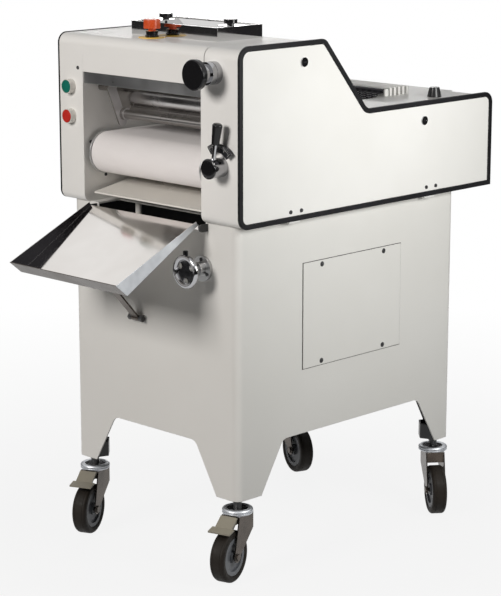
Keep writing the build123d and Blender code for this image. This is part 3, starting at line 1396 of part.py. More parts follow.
# Bearing flange of the handwheel on the stand front
with BuildPart() as handwheel_flange:
    with BuildSketch(front(STAND_SETBACK)):
        with Locations((handwheel_x, -HANDWHEEL_Z)):
            Circle(FLANGE_R)
    extrude(amount=FLANGE_T)
    with BuildSketch(front(STAND_SETBACK)):
        with Locations((handwheel_x, -HANDWHEEL_Z)):
            Circle(FLANGE_BOSS_R)
    extrude(amount=FLANGE_T + FLANGE_BOSS_L)
    with BuildSketch(front(STAND_SETBACK)):
        with Locations((handwheel_x, -HANDWHEEL_Z)):
            Circle(HANDWHEEL_SHAFT_R + RUN_FIT)
    extrude(amount=FLANGE_T + FLANGE_BOSS_L, mode=Mode.SUBTRACT)
save(handwheel_flange, "handwheel_flange")

# Handwheel: round rim, dished web with openings, hub, shaft and a short peg on the rim
rim_y = handwheel_face + HANDWHEEL_RIM_R
rim_mid = HANDWHEEL_R - HANDWHEEL_RIM_R
boss_face = STAND_SETBACK - FLANGE_T - FLANGE_BOSS_L - MOVE_GAP
wheel_axis = Axis(spot(handwheel_x, 0, -HANDWHEEL_Z), (0, 1, 0))
with BuildPart() as handwheel:
    with BuildSketch(Plane(origin=spot(handwheel_x, rim_y, -HANDWHEEL_Z))):
        with Locations((rim_mid, 0)):
            Circle(HANDWHEEL_RIM_R)
    revolve(axis=wheel_axis, revolution_arc=360)
    with BuildSketch(front(rim_y + HANDWHEEL_WEB_T)):
        with Locations((handwheel_x, -HANDWHEEL_Z)):
            Circle(rim_mid)
            with PolarLocations((rim_mid + HANDWHEEL_HUB_R) / 2 - HANDWHEEL_HOLE_SHIFT, 3, 30):
                Circle((rim_mid - HANDWHEEL_HUB_R) / 2 - HANDWHEEL_RIM_R / 2, mode=Mode.SUBTRACT)
    extrude(amount=HANDWHEEL_WEB_T)
    with BuildSketch(front(boss_face)):
        with Locations((handwheel_x, -HANDWHEEL_Z)):
            Circle(HANDWHEEL_HUB_R)
    extrude(amount=boss_face - handwheel_face - HANDWHEEL_RIM_R)
    with BuildSketch(front(STAND_SETBACK + HANDWHEEL_SHAFT_IN)):
        with Locations((handwheel_x, -HANDWHEEL_Z)):
            Circle(HANDWHEEL_SHAFT_R)
    extrude(amount=STAND_SETBACK + HANDWHEEL_SHAFT_IN - boss_face)
    with BuildSketch(level(-HANDWHEEL_Z + rim_mid)):
        with Locations((handwheel_x, rim_y)):
            Circle(HANDWHEEL_PEG_R)
    extrude(amount=HANDWHEEL_RIM_R + HANDWHEEL_PEG_L)
save(handwheel, "handwheel")

# Bezels of the start and stop buttons
button_rows = (("start_button", start_z), ("stop_button", stop_z))
with BuildPart() as button_bezels:
    for _, button_z in button_rows:
        with BuildSketch(front(0)):
            with Locations((button_x, button_z)):
                Circle(BEZEL_R)
                Circle(BUTTON_STEM_R + MOVE_GAP, mode=Mode.SUBTRACT)
        extrude(amount=BEZEL_FLOOR)
        with BuildSketch(front(-BEZEL_FLOOR)):
            with Locations((button_x, button_z)):
                Circle(BEZEL_R)
                Circle(BEZEL_R - BEZEL_WALL, mode=Mode.SUBTRACT)
        extrude(amount=BEZEL_L - BEZEL_FLOOR)
save(button_bezels, "button_bezels")

# Start and stop buttons, each a cap on a stem
for name, button_z in button_rows:
    cap_back = BUTTON_L - BEZEL_L - BUTTON_PROUD
    with BuildPart() as push_button:
        with BuildSketch(front(cap_back)):
            with Locations((button_x, button_z)):
                Circle(BEZEL_R - BEZEL_WALL - MOVE_GAP)
        extrude(amount=BUTTON_L)
        fillet(push_button.faces().sort_by(Axis.Y)[0].edges(), BUTTON_PROUD)
        with BuildSketch(front(cap_back)):
            with Locations((button_x, button_z)):
                Circle(BUTTON_STEM_R)
        extrude(amount=-BUTTON_STEM_L)
    save(push_button, name)

# Fixed sleeve of the roller gap knob, with a groove and a neck
with BuildPart() as gap_knob_sleeve:
    with BuildSketch(front(0)):
        with Locations(gap_knob_point):
            Circle(SLEEVE_R)
    extrude(amount=SLEEVE_L)
    with BuildSketch(front(-SLEEVE_L / 2)):
        with Locations(gap_knob_point):
            Circle(SLEEVE_R)
            Circle(SLEEVE_R - SLEEVE_GROOVE, mode=Mode.SUBTRACT)
    extrude(amount=SLEEVE_GROOVE, mode=Mode.SUBTRACT)
    with BuildSketch(front(-SLEEVE_L)):
        with Locations(gap_knob_point):
            Circle(NECK_R)
    extrude(amount=NECK_L)
    with BuildSketch(front(0)):
        with Locations(gap_knob_point):
            Circle(CONTROL_SHAFT_R + RUN_FIT)
    extrude(amount=SLEEVE_L + NECK_L, mode=Mode.SUBTRACT)
save(gap_knob_sleeve, "gap_knob_sleeve")

# Roller gap knob on its shaft
gap_knob_back = -SLEEVE_L - NECK_L - MOVE_GAP
with BuildPart() as gap_knob:
    with BuildSketch(front(gap_knob_back)):
        with Locations(gap_knob_point):
            Circle(GAP_KNOB_R)
    extrude(amount=GAP_KNOB_L)
    fillet(gap_knob.edges().filter_by(GeomType.CIRCLE), GAP_KNOB_EDGE_R)
    with BuildSketch(front(gap_knob_back - GAP_KNOB_L / 2)):
        with Locations(gap_knob_point):
            Circle(CONTROL_SHAFT_R)
    extrude(amount=-CONTROL_SHAFT_IN + gap_knob_back - GAP_KNOB_L / 2)
save(gap_knob, "gap_knob")

# Graduated sector behind the setting lever, on two posts
sector_angles = [SECTOR_FROM + (SECTOR_TO - SECTOR_FROM) * f for f in (0.15, 0.85)]
sector_mid_r = (SECTOR_INNER_R + SECTOR_OUTER_R) / 2
sector_plane = Plane(origin=spot(lever_x, -SECTOR_Y, LEVER_Z), x_dir=(1, 0, 0), z_dir=(0, -1, 0))
with BuildPart() as index_sector:
    with BuildSketch(sector_plane):
        with BuildLine():
            outer_arc = CenterArc((0, 0), SECTOR_OUTER_R, SECTOR_FROM, SECTOR_TO - SECTOR_FROM)
            inner_arc = CenterArc((0, 0), SECTOR_INNER_R, SECTOR_FROM, SECTOR_TO - SECTOR_FROM)
            Line(outer_arc @ 0, inner_arc @ 0)
            Line(outer_arc @ 1, inner_arc @ 1)
        make_face()
    extrude(amount=SECTOR_T)
    with BuildSketch(sector_plane):
        for angle in sector_angles:
            with Locations((sector_mid_r * cos(radians(angle)), sector_mid_r * sin(radians(angle)))):
                Circle(SECTOR_POST_R)
    extrude(amount=-SECTOR_Y)
save(index_sector, "index_sector")

# Setting lever: capped hub with shaft, and the arm that carries the grip
lean = radians(LEVER_TILT)
arm_dir = (sin(lean), 0, cos(lean))
arm_plane = Plane(origin=spot(lever_x, -LEVER_ARM_Y, LEVER_Z), x_dir=(0, 1, 0), z_dir=arm_dir)
with BuildPart() as index_lever:
    with BuildSketch(front(-MOVE_GAP)):
        with Locations((lever_x, LEVER_Z)):
            Circle(LEVER_HUB_R)
    extrude(amount=LEVER_HUB_L)
    with BuildSketch(front(-MOVE_GAP - LEVER_HUB_L)):
        with Locations((lever_x, LEVER_Z)):
            Circle(LEVER_CAP_R)
    extrude(amount=LEVER_CAP_T)
    with BuildSketch(front(-MOVE_GAP)):
        with Locations((lever_x, LEVER_Z)):
            Circle(CONTROL_SHAFT_R)
    extrude(amount=-LEVER_SHAFT_IN)
    with BuildSketch(arm_plane):
        Circle(LEVER_ARM_R)
    extrude(amount=GRIP_START)
save(index_lever, "index_lever")

# Tapered grip of the setting lever
with BuildPart() as lever_grip:
    with BuildSketch(Plane(origin=arm_plane.origin, x_dir=arm_dir, z_dir=(0, -1, 0))):
        with BuildLine():
            FilletPolyline(
                (GRIP_START, 0),
                (GRIP_END, 0),
                (GRIP_END, GRIP_R_OUTER),
                (GRIP_START, GRIP_R_INNER),
                radius=[0, 0, GRIP_DOME_R, 0],
                close=True,
            )
        make_face()
    revolve(axis=Axis(arm_plane.origin, arm_dir), revolution_arc=360)
save(lever_grip, "lever_grip")

# Emergency stop: plain base disc with neck, and the mushroom head on its stem
with BuildPart() as estop_base:
    with BuildSketch(level(CASING_HEIGHT)):
        with Locations((ESTOP_X, ESTOP_Y)):
            Circle(ESTOP_PLATE_R)
    extrude(amount=ESTOP_PLATE_T)
    with BuildSketch(level(CASING_HEIGHT + ESTOP_PLATE_T)):
        with Locations((ESTOP_X, ESTOP_Y)):
            Circle(ESTOP_NECK_R)
            Circle(ESTOP_STEM_R + MOVE_GAP, mode=Mode.SUBTRACT)
    extrude(amount=ESTOP_NECK_H)
save(estop_base, "estop_base")

estop_head_z = CASING_HEIGHT + ESTOP_PLATE_T + ESTOP_NECK_H + ESTOP_TRAVEL_GAP
with BuildPart() as estop_button:
    with BuildSketch(level(estop_head_z)):
        with Locations((ESTOP_X, ESTOP_Y)):
            Circle(ESTOP_HEAD_R)
    extrude(amount=ESTOP_HEAD_H)
    fillet(estop_button.faces().sort_by(Axis.Z)[-1].edges(), ESTOP_TRAVEL_GAP / 2)
    with BuildSketch(level(estop_head_z)):
        with Locations((ESTOP_X, ESTOP_Y)):
            Circle(ESTOP_STEM_R)
    extrude(amount=-ESTOP_TRAVEL_GAP - ESTOP_NECK_H / 2)
save(estop_button, "estop_button")

# Tapered belt tension knob on the right deck
with BuildPart() as deck_knob:
    with BuildSketch(level(DECK_HEIGHT + MOVE_GAP)):
        with Locations(deck_knob_point):
            Circle(DECK_KNOB_R)
    with BuildSketch(level(DECK_HEIGHT + MOVE_GAP + DECK_KNOB_H)):
        with Locations(deck_knob_point):
            Circle(DECK_KNOB_TOP_R)
    loft()
    with BuildSketch(level(DECK_HEIGHT + MOVE_GAP)):
        with Locations(deck_knob_point):
            Circle(DECK_KNOB_STEM_R)
    extrude(amount=-DECK_KNOB_STEM_L)
save(deck_knob, "deck_knob")

# Catch tray: sloping bottom with a turned-up lip, side walls and a rolled hinge tube at the rear
tray_len = hypot(TRAY_RUN, TRAY_FALL)
down_y = TRAY_FALL / tray_len
down_z = -TRAY_RUN / tray_len
lip_len = hypot(TRAY_LIP_RUN, TRAY_LIP_RISE)
rear_y = -TRAY_GAP
rear_z = -TRAY_DROP
bend_y = rear_y - TRAY_RUN
bend_z = rear_z - TRAY_FALL
tip_y = bend_y - TRAY_LIP_RUN
tip_z = bend_z + TRAY_LIP_RISE
wall_y = rear_y - down_y * TRAY_REAR_WALL
wall_z = rear_z - down_z * TRAY_REAR_WALL
lip_in_y = TRAY_LIP_RISE / lip_len * TRAY_SHEET
lip_in_z = TRAY_LIP_RUN / lip_len * TRAY_SHEET
bend_in = TRAY_SHEET / cos(atan2(TRAY_FALL, TRAY_RUN))
with BuildPart() as tray:
    with BuildSketch(side(tray_left)):
        with BuildLine():
            Polyline(
                (rear_y, rear_z),
                (bend_y, bend_z),
                (tip_y, tip_z),
                (tip_y + lip_in_y, tip_z + lip_in_z),
                (bend_y + lip_in_y, bend_z + bend_in),
                (rear_y, rear_z + bend_in),
                close=True,
            )
        make_face()
    extrude(amount=tray_width)
    for wall_x in (tray_left, tray_right - TRAY_SHEET):
        with BuildSketch(side(wall_x)):
            with BuildLine():
                Polyline(
                    (rear_y, rear_z), (bend_y, bend_z), (tip_y, tip_z), (wall_y, wall_z), close=True
                )
            make_face()
        extrude(amount=TRAY_SHEET)
    with BuildSketch(side(tray_left)):
        with Locations((tray_pivot_y, -TRAY_PIVOT_DROP)):
            Circle(TRAY_TUBE_R)
        with BuildLine():
            Polyline(
                (rear_y, rear_z),
                (rear_y, rear_z + bend_in),
                (tray_pivot_y, TRAY_TUBE_R - TRAY_PIVOT_DROP),
                (tray_pivot_y - TRAY_TUBE_R, -TRAY_PIVOT_DROP),
                close=True,
            )
        make_face()
    extrude(amount=tray_width)
    with BuildSketch(side(tray_left)):
        with Locations((tray_pivot_y, -TRAY_PIVOT_DROP)):
            Circle(TRAY_PIN_R + RUN_FIT)
    extrude(amount=tray_width, mode=Mode.SUBTRACT)
save(tray, "tray")

# Folding strut that props the tray
strut_rad = radians(STRUT_TILT)
strut_dir = (0, -cos(strut_rad), sin(strut_rad))
to_tray = (rear_y - strut_pivot_y) * down_y + (rear_z + STRUT_PIVOT_DROP) * down_z
approach = -cos(strut_rad) * down_y + sin(strut_rad) * down_z
lean_in = abs(sin(strut_rad) * down_y + cos(strut_rad) * down_z) * STRUT_T / 2
strut_len = (to_tray + lean_in + STRUT_REST_GAP) / approach
strut_plane = Plane(
    origin=spot(strut_x, strut_pivot_y, -STRUT_PIVOT_DROP),
    x_dir=(1, 0, 0),
    z_dir=(0, sin(strut_rad), cos(strut_rad)),
)
with BuildPart() as tray_strut:
    with BuildSketch(strut_plane):
        with Locations((0, -strut_len / 2)):
            Rectangle(STRUT_W, strut_len)
    extrude(amount=STRUT_T / 2, both=True)
    with BuildSketch(side(strut_x - STRUT_W / 2)):
        with Locations((strut_pivot_y, -STRUT_PIVOT_DROP)):
            Circle(STRUT_EYE_R)
    extrude(amount=STRUT_W)
    with BuildSketch(side(strut_x - STRUT_W / 2)):
        with Locations((strut_pivot_y, -STRUT_PIVOT_DROP)):
            Circle(STRUT_PIN_R + RUN_FIT)
    extrude(amount=STRUT_W, mode=Mode.SUBTRACT)
save(tray_strut, "tray_strut")

# Gear motor hung from the stand top, with a bore for its output shaft
gearbox_right = chain_x - CHAIN_W - SPROCKET_T
gearbox_left = gearbox_right - GEARBOX_L
with BuildPart() as drive_motor:
    with BuildSketch(side(gearbox_left)):
        with Locations((MOTOR_Y, -MOTOR_Z)):
            RectangleRounded(GEARBOX_SIZE, GEARBOX_SIZE, GEARBOX_SIZE / 8)
    extrude(amount=GEARBOX_L)
    with BuildSketch(side(gearbox_left)):
        with Locations((MOTOR_Y, -MOTOR_Z)):
            Circle(MOTOR_R)
    extrude(amount=-MOTOR_L)
    with BuildSketch(level(-MOTOR_Z)):
        with Locations((gearbox_left + GEARBOX_L / 2, MOTOR_Y)):
            Rectangle(GEARBOX_L / 2, GEARBOX_SIZE / 2)
    extrude(amount=MOTOR_Z - STAND_TOP_T)
    with BuildSketch(side(gearbox_right)):
        with Locations((MOTOR_Y, -MOTOR_Z)):
            Circle(MOTOR_SHAFT_R + RUN_FIT)
    extrude(amount=-GEARBOX_L / 3, mode=Mode.SUBTRACT)
save(drive_motor, "drive_motor")

# Output shaft and sprocket of the gear motor
with BuildPart() as motor_sprocket:
    with BuildSketch(side(gearbox_right - GEARBOX_L / 4)):
        with Locations((MOTOR_Y, -MOTOR_Z)):
            Circle(MOTOR_SHAFT_R)
    extrude(amount=GEARBOX_L / 4 + CHAIN_W + SPROCKET_T)
    rim_r = MOTOR_SPROCKET_R - CHAIN_T / 2 - MOVE_GAP
    with BuildSketch(side(chain_x - SPROCKET_T / 2)):
        with Locations((MOTOR_Y, -MOTOR_Z)):
            Circle(rim_r)
            with PolarLocations(rim_r, SPROCKET_NOTCHES):
                Circle(NOTCH_DEPTH_R, mode=Mode.SUBTRACT)
    extrude(amount=SPROCKET_T)
save(motor_sprocket, "motor_sprocket")

# Drive chain round the motor, drum and front roller sprockets
wraps = [
    (MOTOR_Y, -MOTOR_Z, MOTOR_SPROCKET_R),
    (DRUM_Y, DRUM_Z, DRUM_SPROCKET_R),
    (ROLLER_Y, roller_z, ROLLER_SPROCKET_R),
]
with BuildPart() as drive_chain:
    with BuildSketch(side(chain_x - CHAIN_W / 2)):
        for wrap_y, wrap_z, wrap_r in wraps:
            with Locations((wrap_y, wrap_z)):
                Circle(wrap_r + CHAIN_T / 2)
        make_hull()
    extrude(amount=CHAIN_W)
    with BuildSketch(side(chain_x - CHAIN_W / 2)):
        for wrap_y, wrap_z, wrap_r in wraps:
            with Locations((wrap_y, wrap_z)):
                Circle(wrap_r - CHAIN_T / 2)
        make_hull()
    extrude(amount=CHAIN_W, mode=Mode.SUBTRACT)
save(drive_chain, "drive_chain")
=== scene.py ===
"""Looks of the dough moulder: a finish for every sub-part, small trim, studio light and the camera."""

import json
from math import cos, pi, radians, sin, tau

import bmesh
import bpy
from mathutils import Matrix, Vector


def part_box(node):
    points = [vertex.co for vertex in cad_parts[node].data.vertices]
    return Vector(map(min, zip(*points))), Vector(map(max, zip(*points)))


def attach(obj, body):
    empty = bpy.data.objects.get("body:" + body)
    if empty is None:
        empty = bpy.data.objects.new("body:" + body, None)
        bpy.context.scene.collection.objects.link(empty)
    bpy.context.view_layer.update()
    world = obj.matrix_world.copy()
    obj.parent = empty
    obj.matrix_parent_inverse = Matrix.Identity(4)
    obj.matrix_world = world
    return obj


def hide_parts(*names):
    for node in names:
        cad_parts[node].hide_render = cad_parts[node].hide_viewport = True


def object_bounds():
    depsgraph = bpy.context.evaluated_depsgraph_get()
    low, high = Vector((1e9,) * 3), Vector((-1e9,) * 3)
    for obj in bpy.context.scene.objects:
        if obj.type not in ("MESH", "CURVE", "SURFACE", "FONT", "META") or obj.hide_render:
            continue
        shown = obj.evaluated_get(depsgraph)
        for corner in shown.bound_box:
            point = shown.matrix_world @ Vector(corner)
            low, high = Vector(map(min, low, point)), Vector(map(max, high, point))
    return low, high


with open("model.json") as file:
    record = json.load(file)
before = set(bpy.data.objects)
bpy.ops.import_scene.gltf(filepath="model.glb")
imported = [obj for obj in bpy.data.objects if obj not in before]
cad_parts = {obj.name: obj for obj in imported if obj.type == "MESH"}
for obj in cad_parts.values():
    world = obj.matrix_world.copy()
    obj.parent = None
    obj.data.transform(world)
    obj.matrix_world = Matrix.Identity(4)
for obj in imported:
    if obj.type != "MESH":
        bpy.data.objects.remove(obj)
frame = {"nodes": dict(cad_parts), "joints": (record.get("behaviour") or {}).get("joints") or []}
cad_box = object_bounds()

MM = 0.001
NODES = frame["nodes"]
JOINTS = {j["name"]: j for j in frame["joints"]}
CASTORS = ("front_right", "front_left", "rear_right", "rear_left")

# A face counts as square to an axis when its normal has more than this part along it
SQUARE_ON = 0.9
UP = (0, 0, 1)


# Shader helpers

def add_node(tree, kind, inputs=None, **settings):
    """Add one shader node, set its properties and its input values."""
    node = tree.nodes.new(kind)
    for key, value in settings.items():
        setattr(node, key, value)
    for key, value in (inputs or {}).items():
        node.inputs[key].default_value = value
    return node


def new_surface(name):
    """A material with an empty Principled surface; returns the material, its tree and the surface node."""
    mat = bpy.data.materials.new(name)
    mat.use_nodes = True
    tree = mat.node_tree
    tree.nodes.clear()
    out = add_node(tree, "ShaderNodeOutputMaterial")
    surface = add_node(tree, "ShaderNodeBsdfPrincipled")
    tree.links.new(surface.outputs["BSDF"], out.inputs["Surface"])
    return mat, tree, surface


def place(tree, stretch):
    """Row-frame coordinates in metres, stretched per axis."""
    coords = add_node(tree, "ShaderNodeTexCoord")
    mapping = add_node(tree, "ShaderNodeMapping", {"Scale": stretch})
    tree.links.new(coords.outputs["Object"], mapping.inputs["Vector"])
    return mapping.outputs["Vector"]


def noise(tree, scale, stretch=(1, 1, 1), detail=3.0, roughness=0.55):
    """A noise texture's factor output."""
    tex = add_node(tree, "ShaderNodeTexNoise", {"Scale": scale, "Detail": detail, "Roughness": roughness})
    tree.links.new(place(tree, stretch), tex.inputs["Vector"])
    return tex.outputs["Fac"]


def ramp(tree, factor, low, high, start=0.3, end=0.7):
    """A two-colour ramp over a factor."""
    node = add_node(tree, "ShaderNodeValToRGB")
    node.color_ramp.elements[0].position = start
    node.color_ramp.elements[0].color = (*low, 1)
    node.color_ramp.elements[1].position = end
    node.color_ramp.elements[1].color = (*high, 1)
    tree.links.new(factor, node.inputs["Fac"])
    return node.outputs["Color"]


def spread(tree, factor, low, high, start=0.3, end=0.7):
    """A factor mapped onto a range of values."""
    node = add_node(
        tree, "ShaderNodeMapRange", {"From Min": start, "From Max": end, "To Min": low, "To Max": high}
    )
    tree.links.new(factor, node.inputs["Value"])
    return node.outputs["Result"]


def mix_colours(tree, factor, first, second):
    """Two colour outputs mixed by a factor output."""
    node = add_node(tree, "ShaderNodeMix", data_type="RGBA")
    tree.links.new(factor, node.inputs[0])
    tree.links.new(first, node.inputs[6])
    tree.links.new(second, node.inputs[7])
    return node.outputs[2]


def soft_edges(tree, radius):
    """Normal output of rounded edges, and a mask that is 1 along them."""
    bevel = add_node(tree, "ShaderNodeBevel", {"Radius": radius}, samples=4)
    geometry = add_node(tree, "ShaderNodeNewGeometry")
    dot = add_node(tree, "ShaderNodeVectorMath", operation="DOT_PRODUCT")
    tree.links.new(bevel.outputs["Normal"], dot.inputs[0])
    tree.links.new(geometry.outputs["Normal"], dot.inputs[1])
    edge_dot, flat_dot = 0.80, 0.985
    mask = spread(tree, dot.outputs["Value"], 1.0, 0.0, edge_dot, flat_dot)
    return bevel.outputs["Normal"], mask


def bump(tree, height, normal, strength, distance):
    """Bump from a height output over a base normal."""
    node = add_node(tree, "ShaderNodeBump", {"Strength": strength, "Distance": distance})
    tree.links.new(height, node.inputs["Height"])
    if normal is not None:
        tree.links.new(normal, node.inputs["Normal"])
    return node.outputs["Normal"]


def surface_finish(name, low, high, rough, tone_scale=3.0, grain_scale=700.0, grain_stretch=(1, 1, 1),
                   bump_strength=0.05, bump_mm=0.2, edge_mm=1.0, edge_wear_highlight_tint=None, **constants):
    """A finish with colour drift, uneven gloss, fine grain and softened edges, whose edges can take a
    lighter tint: partly wear and partly a painted highlight.

    low and high are the colour's two ends and rough is the roughness range.
    The other keyword values go to the surface's own sockets.
    """
    wear_highlight_scale, wear_highlight_start, wear_highlight_end = 60.0, 0.45, 0.75
    smudge_ratio, grain_share, gloss_start, gloss_end = 4, 0.35, 0.4, 0.95
    mat, tree, surface = new_surface(name)
    for key, value in constants.items():
        surface.inputs[key.replace("_", " ")].default_value = value
    colour = ramp(tree, noise(tree, tone_scale), low, high)
    normal, edge = soft_edges(tree, edge_mm * MM)
    # Lighter colour along the edges: partly rubbed wear, partly a painted highlight on the rounded edges
    if edge_wear_highlight_tint is not None:
        wear_and_edge_highlight = ramp(tree, noise(tree, wear_highlight_scale), edge_wear_highlight_tint, high, wear_highlight_start, wear_highlight_end)
        colour = mix_colours(tree, edge, colour, wear_and_edge_highlight)
    tree.links.new(colour, surface.inputs["Base Color"])
    grain = noise(tree, grain_scale, grain_stretch, detail=4.0)
    smudge = noise(tree, tone_scale * smudge_ratio)
    blend = add_node(tree, "ShaderNodeMath", operation="MULTIPLY_ADD", inputs={1: grain_share})
    tree.links.new(grain, blend.inputs[0])
    tree.links.new(smudge, blend.inputs[2])
    gloss = spread(tree, blend.outputs["Value"], *rough, gloss_start, gloss_end)
    tree.links.new(gloss, surface.inputs["Roughness"])
    tree.links.new(bump(tree, grain, normal, bump_strength, bump_mm * MM), surface.inputs["Normal"])
    return mat


# Finishes, one per kind of surface

